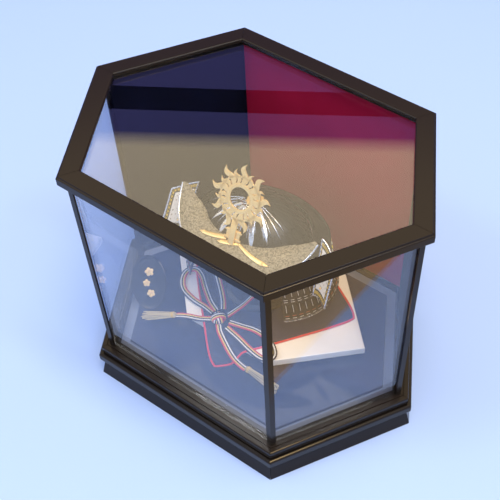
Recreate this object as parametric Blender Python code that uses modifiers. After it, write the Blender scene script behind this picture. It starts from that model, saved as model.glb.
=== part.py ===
"""Hexagonal glazed display case with a lift-off hood, holding a miniature helmet.

The case stands on z = 0 with its footprint centred on the origin. +X runs to the right along the
front glass, +Y runs to the back and +Z is up. Lengths are written in millimetres and turned into
metres by MM where a mesh is made.
"""

import math

import bmesh
import bpy
from mathutils import Matrix, Vector

MM = 0.001
GAP = 0.3

# The hexagon through the outer faces of the corner posts. All its corners are 120 degrees.
FRONT_SIDE = 220.0
SLANT_SIDE = 150.0
HALF_FRONT = FRONT_SIDE / 2
HALF_DEPTH = SLANT_SIDE * math.sin(math.radians(60))
HALF_WIDTH = HALF_FRONT + SLANT_SIDE * math.cos(math.radians(60))
SIDES = ("front", "right_front", "right_back", "back", "left_back", "left_front")

# Heights of the case, from the table up.
PLINTH_TOP = 22.0
BOARD_LOW = PLINTH_TOP + GAP
BOARD_TOP = 34.3
RAIL_LOW = BOARD_TOP + GAP
RAIL_TOP = 45.0
FRAME_LOW = 289.0
CASE_TOP = 300.0
TOP_GLASS_LOW = 293.0
TOP_GLASS_HIGH = 295.9

# How far each layer stands out from the hexagon. Negative is inwards.
PLINTH_FOOT_OUT = 13.6
PLINTH_HEAD_OUT = 8.0
PLINTH_IN = -4.0
BOARD_OUT = 12.9
RAIL_OUT = 8.6
RAIL_IN = -8.0
FRAME_OUT = 6.6
FRAME_IN = -12.8
REBATE_IN = -7.0
PANE_OUT = -2.3
GLASS_IN = -4.8
PANEL_IN = -5.3
POST_WING = 5.5
POST_WALL = 2.0
LEDGE_OUT = -8.4
FLOOR_OUT = -20.0
LEDGE_TOP = 36.4
FLOOR_TOP = 38.7

# The white board: a hexagon with square corners at its left and right ends.
STAND_X = -7.0
STAND_Y = 22.0
STAND_HALF_DEPTH = 75.0
STAND_HALF_FRONT = 57.0
STAND_LOW = 45.0
STAND_TOP = 55.0
RISER_INSET = 12.0

# The cloth, laid cornerwise over the board with its front corner on the floor.
CLOTH_THICK = 1.2
CLOTH_CORNERS = ((0.0, -91.0), (99.0, 50.0), (-12.0, 112.0), (-106.0, 12.0))
CLOTH_DROP_FROM = -61.5
CLOTH_DROP_TO = -72.0

# The helmet, about its own upright axis.
HELMET_X = -20.0
HELMET_Y = 24.0
HELMET_TURN = math.radians(3.5)
BOWL_RIM = 150.0
BOWL_TOP = 194.0
BOWL_RADIUS = 62.0
BOWL_WALL = 2.5
BOWL_DEPTH_SHARE = 46.0 / 62.0
CREST_BASE = (0.0, -51.0, 165.0)
CREST_LEAN = math.radians(25.0)
CREST_THICK = 1.5
CREST_CENTRE = 60.0
CREST_RADIUS = 30.0
CREST_WAVE = 5.0
CREST_POINTS = 9
CREST_STRETCH = 1.05
CREST_HOLE = 12.0
TANG_CENTRE = 23.0
TANG_SIZE = (9.0, CREST_THICK, 24.0)
HOLDER_CENTRE = (0.0, 2.3, 19.0)
HOLDER_SIZE = (16.0, 2.2, 12.0)
CROWN_PROFILE = (
    (0, 200.5), (3, 200), (4.5, 198), (5, 196.6), (9.5, 195.6), (9.5, 194.4), (0, 194.4),
)

# The brim: inner and outer half widths and depths, its heights, and how it ends in tips.
BRIM_HALF_ANGLE = math.radians(80.0)
BRIM_INNER = (55.4, 41.5)
BRIM_OUTER = (84.0, 72.0)
BRIM_HIGH = 172.0
BRIM_LOW = 160.0
BRIM_END_RISE = 28.0
BRIM_TIP_FROM = 0.69
BRIM_TIP_IN = 22.1
BRIM_TIP_RISE = 14.0
BRIM_BULGE = 2.5
BRIM_THICK = 2.2

# A side plate's corners, inner then outer, low then high, and how far it is cupped.
PLATE_LOW = ((84.0, -22.0, 120.0), (105.0, -34.0, 124.0))
PLATE_HIGH = ((77.0, 6.0, 176.0), (102.0, -10.0, 166.0))
PLATE_CUP = 4.0
PLATE_THICK = 2.0

# The neck guard's tiers, top one first: upper radius and height, then lower radius and height.
TIERS = (
    (62.0, 160.0, 84.0, 147.0), (80.0, 146.0, 87.0, 126.0), (83.0, 128.0, 91.0, 107.0),
    (87.0, 109.0, 95.3, 83.0),
)
TIER_DEPTH_SHARE = 0.8
TIER_OPEN = 48.0
TIER_DRAW = 12.0
TIER_DRAW_FROM = (62.0, 18.0)
TIER_THICK = 1.6

# The stand under the helmet, its foot lying on the cloth.
FOOT_LOW = STAND_TOP + GAP * 2 + CLOTH_THICK
FOOT_TOP = FOOT_LOW + 7.0
FOOT_PROFILE = ((0, FOOT_TOP), (34, FOOT_TOP), (38, FOOT_LOW + 4), (38, FOOT_LOW), (0, FOOT_LOW))
POST_PROFILE = (
    (0, 186.5), (14, 185.0), (21, 181.6), (22, 177), (9, 170), (7, 164), (6, 120), (8, 80),
    (12, FOOT_TOP + GAP), (0, FOOT_TOP + GAP),
)

# The knotted cord in front of the helmet.
CORD_RADIUS = 2.5
KNOT = (-26.0, -43.0, 63.4)
KNOT_RADII = (11.0, 9.0, 6.0)
CORD_ROUTES = {
    "cord_loop_left": [
        (-38.4, -39.0, 61.0), (-51, -37, 60.5), (-68, -36, 60.2), (-86, -31, 60.2),
        (-97, -20, 60.4), (-100, -8, 60.6), (-93, 0, 60.6), (-81, -4, 60.6), (-67, -15, 60.4),
        (-50, -27, 60.6), (-36.0, -34.0, 62.0),
    ],
    "cord_loop_right": [
        (-14.4, -38.4, 62.0), (0, -34, 61), (15, -30, 60.5), (30, -31, 60.4), (43, -37, 60.4),
        (51, -45, 60.4), (50, -53, 60.6), (41, -56.5, 60.8), (24, -54, 60.6), (6, -49.4, 60.4),
        (-13.0, -46.0, 61.0),
    ],
    "cord_tail_left": [
        (-37.6, -49.0, 60.6), (-46, -53.5, 60.2), (-55, -57, 60.2), (-63, -60.3, 59.4),
        (-70, -63.4, 57.6),
    ],
    "cord_tail_right": [
        (-17.0, -52.6, 60.4), (-9, -58, 60.2), (-1, -62.5, 59.2), (8, -66.4, 55.0), (17, -68.8, 50.6),
        (26, -69.8, 48.4), (32, -70.2, 47.8),
    ],
    "cord_strand_right": [
        (-18.0, -35.4, 67.0), (-12, -30, 74), (-4, -25, 85), (4, -20, 99), (13, -13, 115),
        (22, -5, 131), (28, 2, 144),
    ],
    "cord_strand_left": [
        (-28.0, -32.4, 67.0), (-31, -28, 75), (-36, -24, 86), (-44, -19, 100), (-54, -13, 115),
        (-63, -6, 130), (-69, 0, 143),
    ],
}
TASSELS = {
    "tassel_left": ((-70.6, -63.7, 57.35), (-106.0, -80.0, 46.0)),
    "tassel_right": ((32.5, -70.23, 47.75), (75.0, -73.0, 45.0)),
}
TASSEL_RADII = (3.2, 5.6)

# The oval plaque, leaning back on a prop.
PLAQUE_FOOT = (-108.0, -66.0, 42.6)
PLAQUE_TURN = math.radians(35.0)
PLAQUE_LEAN = math.radians(35.0)
PLAQUE_WIDTH = 38.0
PLAQUE_HEIGHT = 62.0
PLAQUE_THICK = 7.0
PROP_HALF_WIDTH = 7.0
PROP_HEEL = 8.0
PROP_HEAD = 40.0


def clear_scene():
    """Remove whatever the file holds, so that the script can be run again."""
    for old in list(bpy.data.objects):
        bpy.data.objects.remove(old, do_unlink=True)
    for old in list(bpy.data.collections):
        bpy.data.collections.remove(old)


def material(name, colour, roughness, metallic=0.0):
    """A Principled material with one colour."""
    made = bpy.data.materials.new(name)
    made.use_nodes = True
    shader = made.node_tree.nodes["Principled BSDF"]
    shader.inputs["Base Color"].default_value = (*colour, 1.0)
    shader.inputs["Roughness"].default_value = roughness
    shader.inputs["Metallic"].default_value = metallic
    return made


def add_part(name, bm, finish, parent=None, smooth=False):
    """Turn a bmesh in millimetres into a named object in the case's collection."""
    bmesh.ops.scale(bm, vec=(MM, MM, MM), verts=bm.verts)
    mesh = bpy.data.meshes.new(name)
    bm.to_mesh(mesh)
    bm.free()
    part = bpy.data.objects.new(name, mesh)
    bpy.data.collections["display_case"].objects.link(part)
    mesh.materials.append(finish)
    if smooth:
        mesh.shade_smooth()
        mesh.set_sharp_from_angle(angle=math.radians(35))
    part.parent = parent
    return part


def hexagon(offset):
    """The case's six corners, front left first and anticlockwise, moved outwards by offset."""
    reach = offset / math.sin(math.radians(60))
    corners = []
    places = ((-HALF_FRONT, -HALF_DEPTH), (HALF_FRONT, -HALF_DEPTH), (HALF_WIDTH, 0.0))
    places += ((HALF_FRONT, HALF_DEPTH), (-HALF_FRONT, HALF_DEPTH), (-HALF_WIDTH, 0.0))
    for (x, y), angle in zip(places, (240, 300, 0, 60, 120, 180)):
        out = Vector((math.cos(math.radians(angle)), math.sin(math.radians(angle))))
        corners.append(Vector((x, y)) + out * reach)
    return corners


def fillet(corners, steps=3):
    """A closed outline whose corners (u, z, radius) are rounded by arcs."""
    outline = []
    count = len(corners)
    for i, (u, z, radius) in enumerate(corners):
        here = Vector((u, z))
        if radius <= 0:
            outline.append(here)
            continue
        before = (Vector(corners[i - 1][:2]) - here).normalized()
        after = (Vector(corners[(i + 1) % count][:2]) - here).normalized()
        half = before.angle(after) / 2
        centre = here + (before + after).normalized() * radius / math.sin(half)
        start = (here + before * radius / math.tan(half) - centre).normalized()
        end = (here + after * radius / math.tan(half) - centre).normalized()
        for k in range(steps + 1):
            outline.append(centre + start.slerp(end, k / steps) * radius)
    return outline


def loft(bm, first, last):
    """A closed body between two matching rings: the first is filled, extruded and set on the last."""
    face = bm.faces.new([bm.verts.new(p) for p in first])
    moved = bmesh.ops.extrude_face_region(bm, geom=[face])
    ring = [v for v in moved["geom"] if isinstance(v, bmesh.types.BMVert)]
    for vert in ring:
        nearest = min(range(len(first)), key=lambda i: (vert.co - first[i]).length)
        vert.co = last[nearest]
    bmesh.ops.recalc_face_normals(bm, faces=bm.faces)


def mitred(name, side, profile, finish, parent=None):
    """A bar along one side of the case, with mitred ends half a gap short of each corner."""
    first, last = [], []
    for u, z in profile:
        corners = hexagon(u)
        start, end = corners[side], corners[(side + 1) % 6]
        along = (end - start).normalized() * (GAP / 2 / math.sin(math.radians(60)))
        first.append(Vector((*(start + along), z)))
        last.append(Vector((*(end - along), z)))
    bm = bmesh.new()
    loft(bm, first, last)
    return add_part(name, bm, finish, parent)


def prism(name, outline, low, high, finish, parent=None, rounded=0.0):
    """An upright body with a flat outline, its long edges rounded where asked."""
    bm = bmesh.new()
    first = [Vector((x, y, low)) for x, y in outline]
    loft(bm, first, [p + Vector((0, 0, high - low)) for p in first])
    if rounded:
        flat = [e for e in bm.edges if abs(e.verts[0].co.z - e.verts[1].co.z) < 0.01]
        bmesh.ops.bevel(bm, geom=flat, offset=rounded, segments=3, profile=0.5, affect="EDGES")
    return add_part(name, bm, finish, parent)


def turned(name, profile, finish, parent=None, segments=32):
    """A turned piece: a profile (radius, z), top to bottom, swept by a Screw modifier."""
    bm = bmesh.new()
    verts = [bm.verts.new((r, 0.0, z)) for r, z in profile]
    for a, b in zip(verts, verts[1:]):
        bm.edges.new((a, b))
    part = add_part(name, bm, finish, parent)
    part.data.shade_smooth()
    sweep = part.modifiers.new("turn", "SCREW")
    sweep.steps = segments
    sweep.render_steps = segments
    sweep.use_merge_vertices = True
    sweep.merge_threshold = 0.00005
    return part


def leaf(name, surface, across, along, thick, finish, parent=None):
    """A thin curved piece: a grid set on surface(u, v) and given a wall by Solidify."""
    bm = bmesh.new()
    bmesh.ops.create_grid(bm, x_segments=across, y_segments=along, size=0.5)
    for vert in bm.verts:
        vert.co = Vector(surface(vert.co.x + 0.5, vert.co.y + 0.5))
    bmesh.ops.recalc_face_normals(bm, faces=bm.faces)
    part = add_part(name, bm, finish, parent, smooth=True)
    wall = part.modifiers.new("wall", "SOLIDIFY")
    wall.thickness = thick * MM
    wall.offset = 0.0
    return part


def smooth_route(points, spacing):
    """Evenly spaced points on a Catmull-Rom curve through the route's points."""
    points = [Vector(p) for p in points]
    ends = [points[0] * 2 - points[1]] + points + [points[-1] * 2 - points[-2]]
    fine = []
    for a, b, c, d in zip(ends, ends[1:], ends[2:], ends[3:]):
        for k in range(24):
            t = k / 24
            fine.append(
                (b * 2 + (c - a) * t + (a * 2 - b * 5 + c * 4 - d) * t * t
                 + (b * 3 - a - c * 3 + d) * t * t * t) / 2
            )
    fine.append(points[-1])
    route, travelled = [fine[0]], 0.0
    for a, b in zip(fine, fine[1:]):
        travelled += (b - a).length
        if travelled >= spacing:
            route.append(b)
            travelled = 0.0
    if (route[-1] - fine[-1]).length < spacing / 2:
        route.pop()
    route.append(fine[-1])
    return route


def cord(name, points, finish):
    """A plain round cord: a POLY curve with a bevel and filled caps."""
    route = smooth_route(points, CORD_RADIUS * 4)
    curve = bpy.data.curves.new(name, "CURVE")
    curve.dimensions = "3D"
    curve.bevel_depth = CORD_RADIUS * MM
    curve.bevel_resolution = 2
    curve.use_fill_caps = True
    spline = curve.splines.new("POLY")
    spline.points.add(len(route) - 1)
    for point, place in zip(spline.points, route):
        point.co = (*(place * MM), 1.0)
    spline.use_smooth = True
    part = bpy.data.objects.new(name, curve)
    bpy.data.collections["display_case"].objects.link(part)
    curve.materials.append(finish)
    return part


def between(name, start, end, first_radius, last_radius, finish, segments=16):
    """A tapered round body from start to end."""
    start, end = Vector(start), Vector(end)
    run = end - start
    place = Matrix.Translation((start + end) / 2) @ run.to_track_quat("Z", "Y").to_matrix().to_4x4()
    bm = bmesh.new()
    bmesh.ops.create_cone(
        bm, cap_ends=True, segments=segments, radius1=first_radius, radius2=last_radius,
        depth=run.length, matrix=place,
    )
    return add_part(name, bm, finish, smooth=True)


def empty(name, place, parent=None):
    """A joint's origin: an empty at a place in millimetres, relative to its parent."""
    made = bpy.data.objects.new(name, None)
    bpy.data.collections["display_case"].objects.link(made)
    made.location = Vector(place) * MM
    made.parent = parent
    return made


def build_base(lacquer, floor_finish):
    """Plinth, base board and floor panel."""
    skirting = [(PLINTH_FOOT_OUT, 0.0), (PLINTH_HEAD_OUT, PLINTH_TOP)]
    skirting += [(PLINTH_IN, PLINTH_TOP), (PLINTH_IN, 0.0)]
    for side, where in enumerate(SIDES):
        mitred("plinth_" + where, side, skirting, lacquer)
    prism("base_board", hexagon(BOARD_OUT), BOARD_LOW, BOARD_TOP, lacquer, rounded=2.5)
    bm = bmesh.new()
    low, ledge = hexagon(LEDGE_OUT), hexagon(FLOOR_OUT)
    loft(bm, [Vector((*p, RAIL_LOW)) for p in low], [Vector((*p, LEDGE_TOP)) for p in low])
    top = max(bm.faces, key=lambda face: face.calc_center_median().z)
    bmesh.ops.inset_region(bm, faces=[top], thickness=LEDGE_OUT - FLOOR_OUT)
    raised = bmesh.ops.extrude_face_region(bm, geom=[top])
    bmesh.ops.delete(bm, geom=[top], context="FACES_ONLY")
    for vert in (v for v in raised["geom"] if isinstance(v, bmesh.types.BMVert)):
        vert.co = Vector((*min(ledge, key=lambda p: (p - vert.co.xy).length), FLOOR_TOP))
    add_part("floor_panel", bm, floor_finish)


def build_hood(lacquer, glass, navy, red):
    """The lift-off hood: rails, posts, panes, back panels and the glazed top frame."""
    hood = empty("hood_slide", (0.0, 0.0, RAIL_LOW))
    pieces = []
    rail = fillet([
        (RAIL_IN, RAIL_LOW, 0), (7.2, RAIL_LOW, 0), (RAIL_OUT, 36.2, 0.4), (RAIL_OUT, RAIL_TOP, 1.4),
        (3.6, RAIL_TOP, 0), (3.2, 44.2, 0), (2.6, 44.2, 0), (2.2, RAIL_TOP, 0), (RAIL_IN, RAIL_TOP, 0),
    ])
    frame = fillet([
        (REBATE_IN, FRAME_LOW, 0), (5.6, FRAME_LOW, 0.5), (FRAME_OUT, 290.4, 0.5),
        (FRAME_OUT, 298.4, 1.2), (4.9, 298.8, 0), (4.4, CASE_TOP, 0.5), (FRAME_IN, CASE_TOP, 1.2),
        (FRAME_IN, TOP_GLASS_HIGH + GAP, 0), (REBATE_IN, TOP_GLASS_HIGH + GAP, 0),
    ])
    pane_low, pane_high = RAIL_TOP + GAP, FRAME_LOW - GAP
    for side, where in enumerate(SIDES):
        pieces.append(mitred("bottom_rail_" + where, side, rail, lacquer))
        pieces.append(mitred("top_rail_" + where, side, frame, lacquer))
        glazed = where in ("front", "right_front", "left_front")
        name = ("glass_" if glazed else "panel_") + where
        finish = glass if glazed else (red if where == "back" else navy)
        inner = GLASS_IN if glazed else PANEL_IN
        pane = [(PANE_OUT, pane_low), (PANE_OUT, pane_high), (inner, pane_high), (inner, pane_low)]
        pieces.append(mitred(name, side, pane, finish))
    outer, inner = hexagon(0.0), hexagon(-POST_WALL)
    corner_names = ("front_left", "front_right", "right", "back_right", "back_left", "left")
    for i, where in enumerate(corner_names):
        one = (outer[i - 1] - outer[i]).normalized() * POST_WING
        two = (outer[(i + 1) % 6] - outer[i]).normalized() * POST_WING
        bend = (inner[i] - outer[i]).normalized()
        wall_one = (bend - bend.project(one)).normalized() * POST_WALL
        wall_two = (bend - bend.project(two)).normalized() * POST_WALL
        outline = [outer[i] + one, outer[i], outer[i] + two]
        outline += [outer[i] + two + wall_two, inner[i], outer[i] + one + wall_one]
        pieces.append(prism("post_" + where, outline, pane_low, pane_high, lacquer))
    edge = hexagon(REBATE_IN - GAP)
    pieces.append(prism("top_glass", edge, TOP_GLASS_LOW, TOP_GLASS_HIGH, glass))
    for piece in pieces:
        piece.parent = hood
        piece.matrix_parent_inverse = Matrix.Translation(-hood.location)


def stand_outline(inset):
    """The white board's outline: square corners left and right, flat front and back."""
    half_depth = STAND_HALF_DEPTH - inset
    half_front = STAND_HALF_FRONT - inset * math.tan(math.radians(22.5))
    half_width = half_front + half_depth
    outline = [(-half_front, -half_depth), (half_front, -half_depth), (half_width, 0.0)]
    outline += [(half_front, half_depth), (-half_front, half_depth), (-half_width, 0.0)]
    return [Vector((STAND_X + x, STAND_Y + y)) for x, y in outline]


def cloth_surface(u, v):
    """The cloth's middle surface: flat on the board, then down to the floor at the front."""
    front, right, back, left = (Vector(p) for p in CLOTH_CORNERS)
    place = front.lerp(right, u).lerp(left.lerp(back, u), v)
    high = STAND_TOP + GAP + CLOTH_THICK / 2
    low = FLOOR_TOP + GAP + CLOTH_THICK / 2
    fall = (CLOTH_DROP_FROM - place.y) / (CLOTH_DROP_FROM - CLOTH_DROP_TO)
    fall = min(1.0, max(0.0, fall))
    return (place.x, place.y, high + (low - high) * fall)


def build_stand(white, dark, cloth_finish, wood):
    """The board on its riser, the cloth, and the helmet's own stand."""
    prism("display_board", stand_outline(0.0), STAND_LOW, STAND_TOP, white, rounded=1.0)
    prism("board_riser", stand_outline(RISER_INSET), FLOOR_TOP + GAP, STAND_LOW - GAP, dark)
    leaf("cloth", cloth_surface, 20, 20, CLOTH_THICK, cloth_finish)
    foot = turned("stand_foot", FOOT_PROFILE, wood)
    post = turned("stand_post", POST_PROFILE, wood, segments=24)
    for piece in (foot, post):
        piece.location = (HELMET_X * MM, HELMET_Y * MM, 0.0)


def polar(radius_x, radius_y, angle):
    """A point on an ellipse, at an angle measured from the helmet's front."""
    return radius_x * math.sin(angle), -radius_y * math.cos(angle)


def brim_surface(u, v):
    """The brim: a wide sloping peak whose two ends sweep up to narrow tips."""
    angle = BRIM_HALF_ANGLE * (2 * u - 1)
    side = abs(2 * u - 1)
    pinch = max(0.0, (side - BRIM_TIP_FROM) / (1 - BRIM_TIP_FROM)) ** 2
    inner = polar(BRIM_INNER[0] + BRIM_TIP_IN * pinch, BRIM_INNER[1] + BRIM_TIP_IN * pinch, angle)
    outer = polar(*BRIM_OUTER, angle)
    low = BRIM_LOW + BRIM_END_RISE * side ** 3
    high = BRIM_HIGH + BRIM_TIP_RISE * pinch
    bulge = BRIM_BULGE * math.sin(math.pi * v)
    x, y = (a + (b - a) * v for a, b in zip(inner, outer))
    return (x, y, high + (low - high) * v + bulge)


def side_plate_surface(mirror):
    """One side plate, cupped towards the front; mirror is 1 on the right and -1 on the left."""
    def surface(u, v):
        low = Vector(PLATE_LOW[0]).lerp(Vector(PLATE_LOW[1]), u)
        high = Vector(PLATE_HIGH[0]).lerp(Vector(PLATE_HIGH[1]), u)
        place = low.lerp(high, v)
        cup = PLATE_CUP * math.sin(math.pi * u)
        return (mirror * (place.x - cup * 0.5), place.y + cup, place.z)
    return surface


def tier_surface(tier):
    """One flared tier of the neck guard, open at the front and drawn in towards its two ends."""
    radius, top, wide, low = TIERS[tier]

    def surface(u, v):
        angle = math.radians(TIER_OPEN + (360 - 2 * TIER_OPEN) * u)
        r = radius + (wide - radius) * v
        ends = max(0.0, abs(2 * u - 1) - 0.35) / 0.65
        r -= TIER_DRAW * ends * min(1.0, (r - TIER_DRAW_FROM[0]) / TIER_DRAW_FROM[1])
        x, y = polar(r, r * TIER_DEPTH_SHARE, angle)
        return (x, y, top + (low - top) * v)
    return surface


def crest_outline(steps=72):
    """A flame-edged sun: nine soft points around a ring, above a straight tang."""
    outline = []
    for k in range(steps):
        turn = math.tau * k / steps
        reach = CREST_RADIUS + CREST_WAVE * math.cos(CREST_POINTS * turn)
        across, up = -reach * math.sin(turn), reach * math.cos(turn)
        outline.append((across, CREST_CENTRE + CREST_STRETCH * up))
    return outline


def block(centre, size):
    """A bmesh box in millimetres."""
    bm = bmesh.new()
    shape = Matrix.Translation(centre) @ Matrix.Diagonal((*size, 1.0))
    bmesh.ops.create_cube(bm, size=1.0, matrix=shape)
    return bm


def build_crest(gold, helmet):
    """The gilt crest on its tang, and the socket that it slides out of."""
    slide = empty("crest_slide", CREST_BASE, helmet)
    slide.rotation_euler = (-CREST_LEAN, 0.0, 0.0)
    curve = bpy.data.curves.new("crest", "CURVE")
    curve.dimensions = "2D"
    curve.fill_mode = "BOTH"
    curve.extrude = CREST_THICK / 2 * MM
    angles = [math.tau * k / 24 for k in range(24)]
    hole = [(CREST_HOLE * math.cos(a), CREST_CENTRE + CREST_HOLE * math.sin(a)) for a in angles]
    for outline in (crest_outline(), hole):
        spline = curve.splines.new("POLY")
        spline.points.add(len(outline) - 1)
        for point, (x, y) in zip(spline.points, outline):
            point.co = (x * MM, y * MM, 0.0, 1.0)
        spline.use_cyclic_u = True
    flat = bpy.data.objects.new("crest_flat", curve)
    bpy.data.collections["display_case"].objects.link(flat)
    bpy.context.view_layer.update()
    mesh = bpy.data.meshes.new_from_object(flat.evaluated_get(bpy.context.evaluated_depsgraph_get()))
    bpy.data.objects.remove(flat)
    bm = bmesh.new()
    bm.from_mesh(mesh)
    bmesh.ops.remove_doubles(bm, verts=bm.verts, dist=0.00002)
    bmesh.ops.rotate(bm, verts=bm.verts, matrix=Matrix.Rotation(math.radians(90), 3, "X"))
    bmesh.ops.scale(bm, verts=bm.verts, vec=(1 / MM, 1 / MM, 1 / MM))
    crest = add_part("crest", bm, gold, slide)
    bm = block((0.0, 0.0, TANG_CENTRE), TANG_SIZE)
    bmesh.ops.scale(bm, vec=(MM, MM, MM), verts=bm.verts)
    tang_mesh = bpy.data.meshes.new("crest_tang")
    bm.to_mesh(tang_mesh)
    bm.free()
    tang = bpy.data.objects.new("crest_tang", tang_mesh)
    bpy.data.collections["cutters"].objects.link(tang)
    tang.parent = slide
    tang.hide_render = True
    tang.display_type = "WIRE"
    union = crest.modifiers.new("tang", "BOOLEAN")
    union.operation = "UNION"
    union.object = tang
    holder = add_part("crest_holder", block(HOLDER_CENTRE, HOLDER_SIZE), gold, helmet)
    holder.location = Vector(CREST_BASE) * MM
    holder.rotation_euler = (-CREST_LEAN, 0.0, 0.0)


def build_helmet(black, grey, plate, lace, gold, silver):
    """Bowl, brim, side plates, neck guard, crown ornament and crest."""
    helmet = empty("helmet_slide", (HELMET_X, HELMET_Y, 0.0))
    helmet.rotation_euler = (0.0, 0.0, HELMET_TURN)
    height = BOWL_TOP - BOWL_RIM
    arcs = [math.radians(90 - 9 * k) for k in range(11)]
    outer = [(BOWL_RADIUS * math.cos(a), BOWL_RIM + height * math.sin(a)) for a in arcs]
    inner = [((BOWL_RADIUS - BOWL_WALL) * math.cos(a), BOWL_RIM + (height - BOWL_WALL) * math.sin(a))
             for a in reversed(arcs)]
    profile = outer + inner
    profile[0], profile[-1] = (0.0, BOWL_TOP), (0.0, BOWL_TOP - BOWL_WALL)
    bowl = turned("helmet_bowl", profile, black, helmet)
    bowl.scale = (1.0, BOWL_DEPTH_SHARE, 1.0)
    leaf("brim", brim_surface, 28, 5, BRIM_THICK, grey, helmet)
    leaf("side_plate_right", side_plate_surface(1), 8, 6, PLATE_THICK, plate, helmet)
    leaf("side_plate_left", side_plate_surface(-1), 8, 6, PLATE_THICK, plate, helmet)
    for tier in range(len(TIERS)):
        name = "neck_tier_%d" % (tier + 1)
        leaf(name, tier_surface(tier), 32, 2, TIER_THICK, lace, helmet)
    turned("crown_ornament", CROWN_PROFILE, silver, helmet, segments=24)
    build_crest(gold, helmet)


def build_plaque(lacquer, wood):
    """The oval plaque and the prop behind it."""
    turn = Matrix.Rotation(PLAQUE_TURN, 4, "Z") @ Matrix.Rotation(-PLAQUE_LEAN, 4, "X")
    place = Matrix.Translation(PLAQUE_FOOT) @ turn
    bm = bmesh.new()
    ring = [math.tau * k / 32 for k in range(32)]
    face = [Vector((PLAQUE_WIDTH / 2 * math.cos(a), -PLAQUE_THICK / 2,
                    PLAQUE_HEIGHT / 2 * (1 + math.sin(a)))) for a in ring]
    loft(bm, face, [p + Vector((0, PLAQUE_THICK, 0)) for p in face])
    rims = [e for e in bm.edges if abs(e.verts[0].co.y - e.verts[1].co.y) < 0.01]
    bmesh.ops.bevel(bm, geom=rims, offset=1.2, segments=2, profile=0.5, affect="EDGES")
    bmesh.ops.transform(bm, matrix=place, verts=bm.verts)
    add_part("plaque", bm, lacquer, smooth=True)
    bm = bmesh.new()
    back = PLAQUE_THICK / 2 + GAP
    low = FLOOR_TOP + GAP
    head = place @ Vector((0, back, PROP_HEAD))
    heel = place @ Vector((0, back, PROP_HEEL))
    side = Matrix.Rotation(PLAQUE_TURN, 3, "Z") @ Vector((PROP_HALF_WIDTH, 0, 0))
    first = [head, heel, Vector((heel.x, heel.y, low)), Vector((head.x, head.y, low))]
    loft(bm, [p - side for p in first], [p + side for p in first])
    add_part("plaque_prop", bm, wood)


def build_cord(cord_finish, tassel_finish):
    """The bow tied in front of the helmet, its tails and tassels, and the strands to the helmet."""
    bm = bmesh.new()
    shape = Matrix.Translation(KNOT) @ Matrix.Diagonal((*KNOT_RADII, 1.0))
    bmesh.ops.create_uvsphere(bm, u_segments=20, v_segments=12, radius=1.0, matrix=shape)
    add_part("cord_knot", bm, cord_finish, smooth=True)
    for name, points in CORD_ROUTES.items():
        cord(name, points, cord_finish)
    for name, (start, end) in TASSELS.items():
        between(name, start, end, *TASSEL_RADII, tassel_finish)


def main():
    """Build the whole case."""
    clear_scene()
    for name in ("display_case", "cutters"):
        bpy.context.scene.collection.children.link(bpy.data.collections.new(name))
    lacquer = material("black_lacquer", (0.012, 0.009, 0.008), 0.18)
    glass = material("clear_glass", (0.75, 0.82, 0.86), 0.03)
    navy = material("navy_flock", (0.008, 0.010, 0.055), 0.9)
    red = material("red_flock", (0.16, 0.005, 0.02), 0.9)
    white = material("cream_board", (0.80, 0.78, 0.70), 0.6)
    floor_finish = material("navy_floor", (0.02, 0.035, 0.07), 0.25)
    dark = material("dark_wood", (0.02, 0.02, 0.022), 0.5)
    cloth_finish = material("navy_cloth", (0.01, 0.02, 0.08), 0.85)
    wood = material("black_stand", (0.015, 0.013, 0.012), 0.35)
    black = material("black_iron", (0.015, 0.015, 0.016), 0.35, 0.3)
    grey = material("grey_brocade", (0.32, 0.30, 0.24), 0.7)
    plate = material("printed_leather", (0.65, 0.60, 0.52), 0.6)
    lace = material("laced_plates", (0.02, 0.02, 0.02), 0.4)
    gold = material("gilt_brass", (0.83, 0.60, 0.22), 0.3, 1.0)
    silver = material("silver_plate", (0.75, 0.75, 0.74), 0.25, 1.0)
    cord_finish = material("striped_cord", (0.05, 0.06, 0.16), 0.8)
    tassel_finish = material("straw_fringe", (0.72, 0.62, 0.36), 0.8)
    build_base(lacquer, floor_finish)
    build_hood(lacquer, glass, navy, red)
    build_stand(white, dark, cloth_finish, wood)
    build_helmet(black, grey, plate, lace, gold, silver)
    build_plaque(lacquer, wood)
    build_cord(cord_finish, tassel_finish)


main()
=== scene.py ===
"""A hexagonal glazed display case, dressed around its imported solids.

The case stands on z = 0. +X runs to the right along the front glass, +Y to the back and +Z up.
Shapes are worked out in millimetres and turned into metres when a mesh is finished.
"""

from __future__ import annotations

import logging
import math
from dataclasses import dataclass, field
from enum import Enum
from typing import Callable, Iterable, Sequence

import bmesh
import bpy
import numpy as np
from mathutils import Matrix, Vector, noise


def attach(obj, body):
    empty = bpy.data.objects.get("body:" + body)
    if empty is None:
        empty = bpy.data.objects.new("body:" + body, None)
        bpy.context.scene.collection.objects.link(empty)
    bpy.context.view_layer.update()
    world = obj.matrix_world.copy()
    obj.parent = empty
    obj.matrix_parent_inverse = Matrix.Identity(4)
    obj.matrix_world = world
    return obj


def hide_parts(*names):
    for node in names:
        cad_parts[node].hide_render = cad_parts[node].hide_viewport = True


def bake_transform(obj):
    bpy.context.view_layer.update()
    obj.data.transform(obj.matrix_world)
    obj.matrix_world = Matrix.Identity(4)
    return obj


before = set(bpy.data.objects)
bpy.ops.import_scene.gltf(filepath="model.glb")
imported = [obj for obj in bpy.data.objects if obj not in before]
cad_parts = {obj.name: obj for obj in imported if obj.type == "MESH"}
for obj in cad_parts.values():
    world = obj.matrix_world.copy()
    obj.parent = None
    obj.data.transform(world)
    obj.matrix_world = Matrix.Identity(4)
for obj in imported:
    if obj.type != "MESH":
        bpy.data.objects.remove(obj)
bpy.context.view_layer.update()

LOG = logging.getLogger("display_case")
MM = 0.001
UP = Vector((0.0, 0.0, 1.0))
# Points closer than this many millimetres are one point.
WELD = 0.001
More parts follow.
